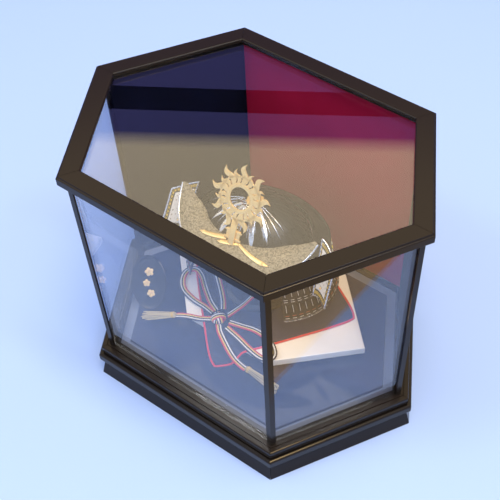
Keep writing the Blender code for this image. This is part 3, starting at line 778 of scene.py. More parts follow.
@dataclass
class Bow:
    """The flat striped braid: knot, two loops, two tails with tassels, two strands to the helmet."""

    stock: Stock
    strand_radius: float = 0.95
    strand_step: float = 1.45
    width: float = 7.5
    sink: float = 1.7
    knot: Triple = (-26.0, -43.0, 63.4)
    routes: dict[str, list[Triple]] = field(default_factory=lambda: {
        "loop_left": [
            (-38.4, -39, 61), (-51, -37, 60.5), (-68, -36, 60.2), (-86, -31, 60.2), (-97, -20, 60.4),
            (-100, -8, 60.6), (-93, 0, 60.6), (-81, -4, 60.6), (-67, -15, 60.4), (-50, -27, 60.6),
            (-36, -34, 62)],
        "loop_right": [
            (-14.4, -38.4, 62), (0, -34, 61), (15, -30, 60.5), (30, -31, 60.4), (43, -37, 60.4),
            (51, -45, 60.4), (50, -53, 60.6), (41, -56.5, 60.8), (24, -54, 60.6), (6, -49.4, 60.4),
            (-13, -46, 61)],
        "tail_left": [
            (-25, -43, 63), (-37.6, -49, 60.8), (-46, -53.5, 60.2), (-55, -57, 60.2), (-63, -60.3, 59.4),
            (-70, -63.4, 57.6)],
        "tail_right": [
            (-26, -43, 63), (-17, -52.6, 60.6), (-9, -58, 60.2), (-1, -62.5, 59.2), (8, -66.4, 55),
            (17, -68.8, 50.6), (26, -69.8, 48.4), (32, -70.2, 47.8)],
        "strand_right": [
            (-18, -35.4, 67), (-12, -30, 74), (-4, -25, 85), (4, -20, 99), (13, -13, 115),
            (22, -5, 131), (28, 2, 144)],
        "strand_left": [
            (-28, -32.4, 67), (-31, -28, 75), (-36, -24, 86), (-44, -19, 100), (-54, -13, 115),
            (-63, -6, 130), (-69, 0, 143)],
    })
    tassels: dict[str, tuple[Triple, Triple]] = field(
        default_factory=lambda: {
            "tail_left": ((-70.6, -63.7, 57.35), (-106, -80, 46)),
            "tail_right": ((32.5, -70.23, 47.75), (75, -73, 45))})
    # Each turn of the knot: degrees of lean and how far it stands out.
    wraps: tuple[Pair, ...] = ((12.0, 0.0), (-38.0, 0.6), (58.0, 0.2))
    core: tuple[float, ...] = (-6.5, -3, 0, 3, 6.5)
    threads: int = 64
    thread_radius: float = 0.42

    def colours(self) -> list[bpy.types.Material]:
        """The braid's strands, from one edge to the other."""
        stock = self.stock
        return [stock.braid_navy, stock.white_lace, stock.braid_black, stock.braid_gold, stock.braid_red]

    def offsets(self) -> list[float]:
        """Each strand's distance from the braid's middle line, in millimetres."""
        count = len(self.colours())
        return [(k - (count - 1) / 2) * self.strand_step for k in range(count)]

    def ribbon(self, name: str, route: list[Vector]) -> bpy.types.Object:
        """A flat braid of strands side by side.

        Args:
            name: the piece's name.
            route: its middle line, in millimetres.

        Returns:
            The braid.
        """
        shades = self.colours()
        lines = [beside(route, off) for off in self.offsets()]
        return rods(name, lines, self.strand_radius, shades, list(range(len(shades))), roundness=2)

    def tassel(self, name: str, ends: tuple[Sequence[float], Sequence[float]]) -> bpy.types.Object:
        """A bound head and a loose bundle of threads.

        Args:
            name: the piece's name.
            ends: the head and the tip, in millimetres.

        Returns:
            The tassel.
        """
        head, tip = (Vector(p) for p in ends)
        run = tip - head
        side = run.cross(UP).normalized()
        top = side.cross(run).normalized()
        lines, picks = [], []
        rng = np.random.default_rng(7)
        golden = 2.39996
        for k in range(self.threads):
            turn = k * golden
            reach = math.sqrt((k + 0.5) / self.threads)
            wander = rng.uniform(-0.8, 0.8, 2)
            line = []
            for step in range(9):
                t = step / 8
                spread = 2.3 + 3.0 * t ** 0.7
                out = side * math.cos(turn) + top * math.sin(turn)
                loose = (side * wander[0] + top * wander[1]) * t * t
                line.append(head + run * t * (0.92 + 0.08 * math.cos(k)) + out * reach * spread + loose)
            lines.append(line)
            picks.append(0 if k % 5 else 1)
        turns = [math.tau * s / 16 for s in range(17)]
        for along in (2.2, 3.3, 4.4):
            middle = head + run.normalized() * along
            lines.append([middle + (side * math.cos(a) + top * math.sin(a)) * 3.3 for a in turns])
            picks.append(2)
        silks = [self.stock.fringe, self.stock.braid_black, self.stock.braid_gold]
        return rods(name, lines, self.thread_radius, silks, picks, roundness=0)

    def make_knot(self) -> bpy.types.Object:
        """The knot: a soft core wrapped by crossing turns of the braid."""
        centre = Vector(self.knot)
        lines, picks = [], []
        for lean, reach in self.wraps:
            spin = Matrix.Rotation(math.radians(lean), 3, "Z")
            for k, off in enumerate(self.offsets()):
                line = []
                for step in range(33):
                    a = math.tau * step / 32
                    flat = 1.0 - 0.012 * off * off
                    point = spin @ Vector((off, math.cos(a) * (7.0 + reach) * flat, 0.0))
                    point.z = math.sin(a) * (4.6 + reach) * flat
                    line.append(centre + point)
                lines.append(line)
                picks.append(k)
        for k in range(7):
            shift = (k - 3) * 1.5
            lines.append([centre + Vector((x, shift, 0)) for x in self.core])
            picks.append(0)
        return rods("braid_knot", lines, 1.0, self.colours(), picks)

    def build(self) -> None:
        """Make the bow and its cords."""
        knot = mount(self.make_knot(), Body.BASE, "striped_cord", "cord_knot")
        for name, points in self.routes.items():
            climbs = name.startswith("strand")
            route = smooth_route(points, 2.5)
            if not climbs:
                route = [p - UP * self.sink for p in route]
            braid = self.ribbon("braid_" + name, route)
            if climbs:
                [c * MM for c in points[0]]
                [c * MM for c in points[-1]]
                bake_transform(braid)
            else:
                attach(braid, "base")
            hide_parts("cord_" + name)
            pieces = []
            if name in self.tassels:
                tassel = self.tassel("tassel_of_" + name, self.tassels[name])
                side = name.split("_")[1]
                pieces = [mount(tassel, Body.BASE, "straw_fringe", "tassel_" + side)]
            path = [tuple(p * MM) for p in route]
            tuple(path[0])
            route_length(route) * MM
            LOG.info("%s is %.0f mm long", braid.name, route_length(route))
        LOG.info("%s ties them", knot.name)


# ---------------------------------------------------------------- the cloth


@dataclass
class Cloth:
    """The navy cloth laid cornerwise over the board, bound with red piping."""

    stock: Stock
    corners: tuple[Pair, ...] = ((0, -91), (99, 50), (-12, 112), (-106, 12))
    board_level: float = 55.9
    floor_level: float = 39.6
    drop_from: float = -59.5
    drop_to: float = -73.0
    thick: float = 0.9
    piping_radius: float = 1.15

    def surface(self, u: float, v: float) -> Vector:
        """A point of the cloth's middle surface, in millimetres."""
        a, b = 2 * u - 1, 2 * v - 1
        a, b = a * (1 - 0.055 * abs(b) ** 7), b * (1 - 0.055 * abs(a) ** 7)
        u, v = (a + 1) / 2, (b + 1) / 2
        front, right, back, left = (Vector((*c, 0.0)) for c in self.corners)
        place = front.lerp(right, u).lerp(left.lerp(back, u), v)
        fall = (self.drop_from - place.y) / (self.drop_from - self.drop_to)
        fall = min(1.0, max(0.0, fall))
        fall = fall * fall * (3 - 2 * fall)
        fold = noise.noise(Vector((place.x * 0.022, place.y * 0.022, 3.1)))
        crease = noise.noise(Vector((place.x * 0.06, place.y * 0.05, 9.7)))
        rise = max(0.0, 0.9 * fold + 0.5 * crease) * (1 - 0.6 * fall)
        place.z = self.board_level + (self.floor_level - self.board_level) * fall + rise
        return place

    def build(self) -> None:
        """Make the cloth and its piping."""
        cloth = leaf("bound_cloth", self.surface, 96, 96, self.thick, [self.stock.cloth])
        mount(cloth, Body.BASE, "navy_cloth", "cloth")
        lift = self.piping_radius - self.thick / 2
        edge = [point + UP * lift for point in border(self.surface, 60)]
        piping = rods("cloth_piping", [edge], self.piping_radius, [self.stock.piping],
                      closed=True, roundness=2)
        mount(piping, Body.BASE, "navy_cloth")


# ---------------------------------------------------------------- the helmet


@dataclass
class Helmet:
    """The miniature helmet: ribbed bowl, brim, side plates and laced neck guard."""

    stock: Stock
    x: float = -20.0
    y: float = 24.0
    turn: float = 3.5
    rim: float = 150.0
    top: float = 194.0
    radius: float = 62.0
    wall: float = 2.5
    squash: float = 46.0 / 62.0
    ribs: int = 32
    # Rows of rivets: degrees up the bowl and the rivets' radius.
    rivet_rows: tuple[Pair, ...] = ((10, 1.25), (26, 1.1), (42, 0.95))
    # Front plates: degrees round the bowl and degrees up to the plate's point.
    front_lows: tuple[Pair, ...] = ((0, 14.0), (20, 20.0), (-20, 20.0), (40, 34.0), (-40, 34.0))
    # The rosette's steps: radius, underside and top.
    crown_steps: tuple[Triple, ...] = (
        (9.5, 194.4, 195.7), (6.6, 195.7, 197.0), (3.6, 197.0, 199.2))
    # The brim: degrees to each side, half-axes and height of both edges, and how its tips turn up and out.
    brim_spread: float = 80.0
    brim_inner: Pair = (55.4, 41.5)
    brim_outer: Pair = (84.0, 72.0)
    brim_heights: Pair = (172.0, 160.0)
    brim_arch: float = 2.5
    tip_from: float = 0.69
    tip_out: float = 22.1
    tip_rises: Pair = (14.0, 28.0)
    # Each strap: its root and its end on the brim, and its width at both.
    straps: tuple[tuple[Pair, Pair, float, float], ...] = (
        ((0.45, 0.0), (0.29, 0.46), 6.6, 4.0), ((0.55, 0.02), (0.42, 0.30), 6.6, 4.0),
        ((0.53, 0.0), (0.74, 0.70), 2.8, 5.6))
    # A side plate's corners: the inner and outer ones below, then above.
    plate_corners: tuple[Triple, ...] = (
        (84, -22, 120), (105, -34, 124), (77, 6, 176), (102, -10, 166))
    plate_cup: float = 4.0
    # A side plate's rivets: their place on it and their radius.
    plate_rivets: tuple[Triple, ...] = ((0.5, 0.55, 3.4), (0.5, 0.2, 1.4), (0.5, 0.85, 1.4))
    # The neck guard's tiers: reach and height at the top edge, then at the lower edge.
    tiers: tuple[tuple[float, float, float, float], ...] = (
        (62.0, 160.0, 84.0, 147.0), (80.0, 146.0, 87.0, 126.0),
        (83.0, 128.0, 91.0, 107.0), (87.0, 109.0, 95.3, 83.0))
    tier_from: float = 48.0
    tier_depth: float = 0.8
    tier_draw: float = 12.0
    stitched_tier: int = 1

    def __post_init__(self) -> None:
        """Work out where the helmet stands."""
        spin = Matrix.Rotation(math.radians(self.turn), 4, "Z")
        self.place = Matrix.Translation((self.x, self.y, 0)) @ spin

    def on_bowl(self, angle: float, climb: float, proud: float = 0.0) -> Vector:
        """A point on the bowl.

        Args:
            angle: degrees round from the front.
            climb: degrees up from the rim.
            proud: how far outside the surface, in millimetres.

        Returns:
            The point, in the helmet's own frame.
        """
        a, c = math.radians(angle), math.radians(climb)
        reach = (self.radius + proud) * math.cos(c)
        return Vector((reach * math.sin(a), -reach * math.cos(a) * self.squash,
                       self.rim + (self.top - self.rim + proud) * math.sin(c)))

    def bowl(self) -> None:
        """The ribbed bowl with black rib wires, front plates, rivets and rim band; short silver wires on
        the front ribs are painted highlights.
        """
        height = self.top - self.rim
        arcs = [math.radians(90 - 5 * k) for k in range(19)]
        profile = [(self.radius * math.cos(a), self.rim + height * math.sin(a)) for a in arcs]
        profile += [((self.radius - self.wall) * math.cos(a), self.rim + (height - self.wall) * math.sin(a))
                    for a in reversed(arcs)]
        profile[0], profile[-1] = (0.0, self.top), (0.0, self.top - self.wall)
        shell = self.radius - self.wall / 2

        def ribbed(co: Vector) -> Vector:
            """Lift every fourth line of the outer wall into a rib."""
            flat = math.hypot(co.x, co.y)
            share = math.hypot(flat / shell, (co.z - self.rim) / (height - self.wall / 2))
            swell = 1.0
            if share > 1.0 and flat > 6:
                wave = math.cos(self.ribs * math.atan2(co.y, co.x))
                swell = 1 + 0.010 * max(0.0, wave)
            return Vector((co.x * swell, co.y * swell * self.squash, co.z))

        bowl = turned("ribbed_bowl", profile, self.ribs * 6, [self.stock.bowl], self.place, ribbed)
        mount(bowl, Body.HELMET, "black_iron", "helmet_bowl")
        dark, bright = [], []
        for k in range(self.ribs):
            angle = 360 * (k + 0.25) / self.ribs
            dark.append([self.place @ self.on_bowl(angle, c, 0.7) for c in range(4, 82, 6)])
            # Painted highlight: the front ribs near the crown get short silver wires where the glossy black
            # ribs catch the light.
            if min(angle, 360 - angle) < 80:
                low = 38 if k % 2 else 46
                climbs = [low + (80 - low) * t / 9 for t in range(10)]
                bright.append([self.place @ self.on_bowl(angle, climb, 1.0) for climb in climbs])
        wires = rods("rib_wires", dark, 0.5, [self.stock.bowl], fullness=lambda t: 1.0 - 0.35 * t)
        mount(wires, Body.HELMET, "black_iron")
        # Painted highlights, made as silver wires on the front ribs only.
        rays = rods("painted_highlight_rays", bright, 0.85, [self.stock.silver],
                    fullness=lambda t: min(1.0, 0.15 + 2.4 * t) - 0.3 * t)
        mount(rays, Body.HELMET, "silver_plate")
        self.front_plates()
        self.rivets()
        band = [(self.radius + 1.6, self.rim + 7), (self.radius + 2.3, self.rim + 5.5),
                (self.radius + 2.3, self.rim + 1.0), (self.radius + 1.4, self.rim),
                (self.radius + 0.4, self.rim), (self.radius + 0.4, self.rim + 7),
                (self.radius + 1.6, self.rim + 7)]
        ring = turned("bowl_band", band, 96, [self.stock.silver], self.place,
                      lambda co: Vector((co.x, co.y * self.squash, co.z)))
        mount(ring, Body.HELMET, "silver_plate")

    def front_plates(self) -> None:
        """Pointed silver plates that run down the bowl from its crown."""
        for number, (angle, low) in enumerate(self.front_lows):
            def surface(u: float, v: float, angle: float = angle, low: float = low) -> Vector:
                """A point of one plate, widest near the top and pointed below."""
                climb = low + (76 - low) * v
                half = 2.6 * min(1.0, v * 3.2) * (1 + 0.5 * v)
                spread = math.degrees(half / (self.radius * max(0.25, math.cos(math.radians(climb)))))
                return self.on_bowl(angle + (2 * u - 1) * spread, climb, 1.5 + 0.5 * (1 - abs(2 * u - 1)))

            name = "front_plate_%d" % (number + 1)
            plate = leaf(name, surface, 6, 24, 0.7, [self.stock.silver], self.place)
            mount(plate, Body.HELMET, "silver_plate")

    def rivets(self) -> None:
        """Small domed rivets between the ribs, in three rows."""
        bm = bmesh.new()
        for climb, size in self.rivet_rows:
            for k in range(self.ribs):
                at = self.on_bowl(360 * (k + 0.75) / self.ribs, climb, 0.3)
                bmesh.ops.create_uvsphere(bm, u_segments=8, v_segments=5, radius=size,
                                          matrix=Matrix.Translation(at))
        mount(new_mesh("bowl_rivets", bm, [self.stock.bowl], self.place), Body.HELMET, "black_iron")

    def crown(self) -> None:
        """The stepped rosette on the crown."""
        bm = bmesh.new()
        for radius, low, high in self.crown_steps:
            shape = Matrix.Translation((0, 0, (low + high) / 2))
            made = bmesh.ops.create_cone(bm, cap_ends=True, segments=48, depth=high - low,
                                         radius1=radius, radius2=radius * 0.9, matrix=shape)
            for vert in made["verts"]:
                wave = 1 + 0.07 * math.cos(12 * math.atan2(vert.co.y, vert.co.x))
                vert.co.x *= wave
                vert.co.y *= wave
        bmesh.ops.create_uvsphere(bm, u_segments=20, v_segments=10, radius=2.0,
                                  matrix=Matrix.Translation((0, 0, 198.6)))
        rosette = new_mesh("crown_rosette", bm, [self.stock.gilt], self.place)
        mount(rosette, Body.HELMET, "silver_plate", "crown_ornament")

    def brim_point(self, u: float, v: float) -> Vector:
        """A point of the brim's middle surface, in the helmet's own frame."""
        angle = math.radians(self.brim_spread) * (2 * u - 1)
        side = abs(2 * u - 1)
        pinch = max(0.0, (side - self.tip_from) / (1 - self.tip_from)) ** 2
        wide, deep = (half + self.tip_out * pinch for half in self.brim_inner)
        inner = Vector((wide * math.sin(angle), -deep * math.cos(angle)))
        outer = Vector((self.brim_outer[0] * math.sin(angle), -self.brim_outer[1] * math.cos(angle)))
        high = self.brim_heights[0] + self.tip_rises[0] * pinch
        low = self.brim_heights[1] + self.tip_rises[1] * side ** 3
        flat = inner.lerp(outer, v)
        return Vector((flat.x, flat.y, high + (low - high) * v + self.brim_arch * math.sin(math.pi * v)))

    def brim(self) -> None:
        """The brocade brim, its silver rim, its inner cord and the straps on it."""
        brim = leaf("brocade_brim", self.brim_point, 96, 12, 1.6, [self.stock.brocade], self.place)
        mount(brim, Body.HELMET, "grey_brocade", "brim")
        steps = [k / 96 for k in range(97)]
        rim = rods("brim_rim", [[self.place @ self.brim_point(u, 1.0) for u in steps]], 1.25,
                   [self.stock.silver], roundness=2)
        mount(rim, Body.HELMET, "silver_plate")
        inside = [self.place @ self.brim_point(u, 0.02) + UP * 0.8 for u in steps[6:-6]]
        cord = rods("brim_inner_cord", [inside], 0.9, [self.stock.brocade], roundness=2)
        mount(cord, Body.HELMET, "grey_brocade")
        self.crest_straps()

    def crest_straps(self) -> None:
        """Three gilt straps that lie on the brim, and their rivets."""
        bm = bmesh.new()
        for number, (start, end, slim, broad) in enumerate(self.straps):
            def strap(u: float, v: float, start: tuple = start, end: tuple = end, slim: float = slim,
                      broad: float = broad) -> Vector:
                """A point of one strap, lying on the brim from its root to its end."""
                where = Vector(start).lerp(Vector(end), v)
                run = self.brim_point(*end) - self.brim_point(*start)
                spread = self.brim_point(where.x + 0.01, where.y) - self.brim_point(where.x - 0.01, where.y)
                fall = self.brim_point(where.x, where.y + 0.02) - self.brim_point(*where)
                normal = spread.cross(fall).normalized()
                normal = normal if normal.z > 0 else -normal
                along = run.cross(normal).normalized()
                taper = min(1.0, 6 * (1.02 - v))
                half = (slim + (broad - slim) * v) / 2 * taper
                proud = 1.7 + 0.5 * math.sin(math.pi * u)
                return self.brim_point(*where) + along * (2 * u - 1) * half + normal * proud

            made = leaf("crest_strap_%d" % (number + 1), strap, 6, 20, 0.8, [self.stock.gilt], self.place)
            mount(made, Body.HELMET, "gilt_brass")
            for v in (0.12, 0.86):
                squat = Matrix.Translation(strap(0.5, v) + UP * 0.4) @ Matrix.Diagonal((1, 1, 0.6, 1))
                bmesh.ops.create_uvsphere(bm, u_segments=14, v_segments=8, radius=1.3, matrix=squat)
        mount(new_mesh("strap_rivets", bm, [self.stock.gilt], self.place), Body.HELMET, "gilt_brass")

    def plate_point(self, mirror: int, u: float, v: float) -> Vector:
        """A point of a side plate's middle surface, in the helmet's own frame."""
        low_in, low_out, high_in, high_out = (Vector(corner) for corner in self.plate_corners)
        place = low_in.lerp(low_out, u).lerp(high_in.lerp(high_out, u), v)
        cup = self.plate_cup * math.sin(math.pi * u)
        return Vector((mirror * (place.x - cup * 0.5), place.y + cup, place.z))

    def side_plates(self) -> None:
        """The two turned-back plates with their rims and rivets."""
        for side, mirror in (("right", 1), ("left", -1)):
            def surface(u: float, v: float, mirror: int = mirror) -> Vector:
                """This side's plate."""
                return self.plate_point(mirror, u, v)

            plate = leaf("leather_plate_" + side, surface, 20, 32, 1.6, [self.stock.leather], self.place)
            mount(plate, Body.HELMET, "printed_leather", "side_plate_" + side)
            rim = rods("plate_rim_" + side, [[self.place @ p for p in border(surface, 16)]], 1.2,
                       [self.stock.silver], closed=True, roundness=2)
            mount(rim, Body.HELMET, "silver_plate")
            bm = bmesh.new()
            out = (surface(0.6, 0.5) - surface(0.4, 0.5)).cross(surface(0.5, 0.6) - surface(0.5, 0.4))
            out = out.normalized() * (1 if out.y < 0 else -1)
            turn = out.to_track_quat("Z", "Y").to_matrix().to_4x4()
            for u, v, size in self.plate_rivets:
                at = Matrix.Translation(surface(u, v) + out * 1.2)
                for share, lift in ((1.0, 0.0), (0.55, 1.0)):
                    shape = at @ turn @ Matrix.Translation((0, 0, lift)) @ Matrix.Diagonal((1, 1, 0.4, 1))
                    bmesh.ops.create_uvsphere(bm, u_segments=16, v_segments=8, radius=size * share,
                                              matrix=shape)
            rivets = new_mesh("plate_rivets_" + side, bm, [self.stock.gilt], self.place)
            mount(rivets, Body.HELMET, "gilt_brass")

    def tier_point(self, tier: int, u: float, v: float, proud: float = 0.0) -> Vector:
        """A point of a neck-guard tier, in the helmet's own frame."""
        angle = math.radians(self.tier_from + (360 - 2 * self.tier_from) * u)
        inner, top, outer, low = self.tiers[tier]
        reach = inner + (outer - inner) * v
        # The ends are drawn in towards the helmet, except right under the bowl.
        end = max(0.0, abs(2 * u - 1) - 0.35) / 0.65
        reach += proud - self.tier_draw * end * min(1.0, (reach - self.radius) / 18)
        return Vector((reach * math.sin(angle), -reach * self.tier_depth * math.cos(angle),
                       top + (low - top) * v))

    def threads(self, tier: int) -> list[tuple[list[Vector], int]]:
        """The threads that show on a tier of the neck guard.

        Args:
            tier: the tier's number, 0 at the top.

        Returns:
            Each thread's route, and 0 for pale silk or 1 for coloured.
        """
        def run(places: Iterable[Pair], proud: float) -> list[Vector]:
            """A thread through places on the tier."""
            return [self.place @ self.tier_point(tier, u, v, proud) for u, v in places]

        if tier < self.stitched_tier:
            return []
        if tier == self.stitched_tier:
            count = 60
            return [(run((((k + d) / count, 0.86) for d in (0.12, 0.42, 0.72)), 1.3), k % 2)
                    for k in range(count)]
        last = tier == len(self.tiers) - 1
        found, count = [], 44
        for k in range(count):
            u = (k + 0.5) / count
            dash = [u + d / count for d in (-0.28, 0.28)]
            found += [(run(((u, v) for v in (0.02, 0.2, 0.4, 0.56)), 1.2), 0),
                      (run(((d, 0.72) for d in dash), 1.3), 1 if last else 0),
                      (run(((d, 0.84) for d in dash), 1.3), 0)]
        return found

    def neck_guard(self) -> None:
        """Four flared tiers of lamellae, laced with white and edged with dashes."""
        for tier in range(len(self.tiers)):
            def surface(u: float, v: float, tier: int = tier) -> Vector:
                """This tier, its lamellae overlapping a little."""
                lap = 0.45 * ((u * 56) % 1.0)
                return self.tier_point(tier, u, v, lap)

            name = "lamellae_%d" % (tier + 1)
            plates = leaf(name, surface, 224, 6, 1.0, [self.stock.plates], self.place)
            mount(plates, Body.HELMET, "laced_plates", "neck_tier_%d" % (tier + 1))
            threads = self.threads(tier)
            stitched = tier == self.stitched_tier
            if threads:
                lines, picks = zip(*threads)
                bright = self.stock.gold_stitch if stitched else self.stock.orange_lace
                silks = [self.stock.pale_stitch, bright]
                lacing = rods("lacing_%d" % (tier + 1), lines, 0.85 if stitched else 0.3, silks, picks)
                mount(lacing, Body.HELMET, "laced_plates")
            steps = [k / 96 for k in range(97)]
            low_edge = [self.place @ self.tier_point(tier, u, 1.0, 0.2) for u in steps]
            lip = rods("tier_lip_%d" % (tier + 1), [low_edge], 0.9,
                       [self.stock.silver if tier == len(self.tiers) - 1 else self.stock.plates])
            mount(lip, Body.HELMET, "laced_plates")

    def build(self) -> None:
        """Make the whole helmet."""
        self.bowl()
        self.crown()
        self.brim()
        self.side_plates()
        self.neck_guard()


@dataclass
class SunCrest:
    """A gilt openwork sun on a tang, and the socket that holds it."""

    stock: Stock
    helmet: Helmet
    base: Triple = (0.0, -51.0, 165.0)
    lean: float = 25.0
    middle: float = 60.0
    rays: int = 9
    thick: float = 1.5
    # The flat rings: inner and outer radius, and how much the outer edge waves.
    rings: tuple[Triple, ...] = ((11.5, 16.0, 0.0), (21.5, 24.0, 0.03))
    # The long and the short flame: where each begins and ends, and half its width.
    flames: tuple[Triple, ...] = ((15.0, 34.5, 3.6), (15.5, 28.5, 2.3))
    # The tang's and the socket's blocks: middle and size.
    tang: tuple[Block, ...] = (((0, 0, 23), (7, 1.5, 30)),)
    socket: tuple[Block, ...] = (
        ((0, 2.3, 19), (16, 2.2, 12)), ((0, 1.4, 15), (20, 1.4, 2)), ((0, 1.4, 23), (20, 1.4, 2)))

    def __post_init__(self) -> None:
        """Work out where the crest stands."""
        self.place = (self.helmet.place @ Matrix.Translation(self.base)
                      @ Matrix.Rotation(math.radians(-self.lean), 4, "X"))

    def ring(self, bm: bmesh.types.BMesh, inner: float, outer: float, wave: float) -> None:
        """Add a flat ring, standing in the XZ plane, its outer edge waved."""
        loops = []
        for radius, swing in ((inner, 0.0), (outer, wave)):
            made = bmesh.ops.create_circle(bm, segments=144, radius=radius)
            for vert in made["verts"]:
                turn = math.atan2(vert.co.x, vert.co.y)
                share = 1 + swing * math.cos(self.rays * 2 * turn)
                vert.co = Vector((vert.co.x * share, 0.0, self.middle + vert.co.y * share))
            loops += list({e for v in made["verts"] for e in v.link_edges})
        bmesh.ops.bridge_loops(bm, edges=loops)

    def ray(self, bm: bmesh.types.BMesh, turn: float, inner: float, outer: float, width: float) -> None:
        """Add one curved flame between two radii, at an angle from the top."""
        made = bmesh.ops.create_grid(bm, x_segments=4, y_segments=14, size=0.5)
        for vert in made["verts"]:
            across, up = vert.co.x * 2, vert.co.y + 0.5
            half = width * math.sin(math.pi * min(1.0, 0.18 + 0.82 * up)) ** 0.8
            bend = 0.10 * math.sin(math.tau * up)
            reach = inner + (outer - inner) * up
            angle = turn + bend + across * half / reach
            vert.co = Vector((reach * math.sin(angle), 0.0, self.middle + 1.04 * reach * math.cos(angle)))

    def blocks(self, name: str, blocks: Iterable[Block],
               rounding: float) -> bpy.types.Object:
        """Gilt blocks with rounded edges, as one piece.

        Args:
            name: the piece's name.
            blocks: each block's middle and size, in millimetres.
            rounding: how far the rounding reaches, in millimetres.

        Returns:
            The piece.
        """
        bm = bmesh.new()
        for middle, size in blocks:
            shape = Matrix.Translation(middle) @ Matrix.Diagonal((*size, 1))
            bmesh.ops.create_cube(bm, size=1.0, matrix=shape)
        bmesh.ops.bevel(bm, geom=list(bm.edges), offset=rounding, segments=2, profile=0.5,
                        affect="EDGES", material=-1)
        return new_mesh(name, bm, [self.stock.gilt], self.place)

    def build(self) -> None:
        """Make the crest and its socket."""
        bm = bmesh.new()
        for ring in self.rings:
            self.ring(bm, *ring)
        long, short = self.flames
        for k in range(self.rays):
            turn = math.tau * k / self.rays
            self.ray(bm, turn, *long)
            self.ray(bm, turn + math.pi / self.rays, *short)
        bmesh.ops.recalc_face_normals(bm, faces=bm.faces)
        sun = new_mesh("sun_crest", bm, [self.stock.gilt], self.place)
        thicken(sun, self.thick)
        round_edges(sun)
        mount(sun, Body.CREST, "gilt_brass", "crest")
        mount(self.blocks("crest_tang", self.tang, 0.3), Body.CREST, "gilt_brass")
        mount(self.blocks("crest_socket", self.socket, 0.4), Body.HELMET, "gilt_brass", "crest_holder")


# ---------------------------------------------------------------- the plaque


@dataclass
class Plaque:
    """The oval lacquered plaque, with a stepped rim and gilt blossoms."""

    stock: Stock
    foot: Triple = (-108.0, -66.0, 42.6)
    turn: float = 35.0
    lean: float = 35.0
    width: float = 38.0
    height: float = 62.0
    thick: float = 7.0
    # The rim's steps inwards: how far in, and how far up or down.
    steps: tuple[Pair, ...] = ((1.2, 0.0), (1.6, -1.0), (2.2, 0.0), (0.6, 0.7), (0.8, -0.7))
    # Each blossom: its place on the face and its size.
    blossoms: tuple[Triple, ...] = ((1.0, 44.0, 5.0), (-2.5, 31.0, 4.2), (2.0, 19.0, 4.6))

    def build(self) -> None:
        """Make the plaque and its motif."""
        place = (Matrix.Translation(self.foot) @ Matrix.Rotation(math.radians(self.turn), 4, "Z")
                 @ Matrix.Rotation(math.radians(-self.lean), 4, "X"))
        bm = bmesh.new()
        bmesh.ops.create_circle(bm, cap_ends=True, segments=96, radius=1.0)
        bmesh.ops.scale(bm, vec=(self.width / 2, self.height / 2, 1), verts=bm.verts)
        moved = bmesh.ops.extrude_face_region(bm, geom=list(bm.faces))
        for vert in (v for v in moved["geom"] if isinstance(v, bmesh.types.BMVert)):
            vert.co.z += self.thick
        bmesh.ops.recalc_face_normals(bm, faces=bm.faces)
        for inset, sink in self.steps:
            top = max((f for f in bm.faces if len(f.verts) > 4), key=lambda f: f.calc_center_median().z)
            bmesh.ops.inset_region(bm, faces=[top], thickness=inset, depth=sink)
        upright = (Matrix.Translation((0, self.thick / 2, self.height / 2))
                   @ Matrix.Rotation(math.radians(90), 4, "X"))
        oval = new_mesh("oval_plaque", bm, [self.stock.lacquer], place @ upright, sharp=25)
        round_edges(oval)
        mount(oval, Body.BASE, "black_lacquer", "plaque")
        bm = bmesh.new()
        level = -self.thick / 2 + 0.7
        for across, up, size in self.blossoms:
            for k in range(5):
                a = math.tau * k / 5 + across
                at = (across + size * 0.62 * math.sin(a), level, up + size * 0.62 * math.cos(a))
                shape = Matrix.Translation(at) @ Matrix.Diagonal((size * 0.42, 0.45, size * 0.42, 1))
                bmesh.ops.create_uvsphere(bm, u_segments=14, v_segments=8, radius=1.0, matrix=shape)
            shape = Matrix.Translation((across, level - 0.2, up)) @ Matrix.Diagonal((1, 0.5, 1, 1))
            bmesh.ops.create_uvsphere(bm, u_segments=12, v_segments=6, radius=size * 0.2, matrix=shape)
        mount(new_mesh("gilt_blossoms", bm, [self.stock.gilt], place), Body.BASE, "gilt_brass")


# ---------------------------------------------------------------- the studio


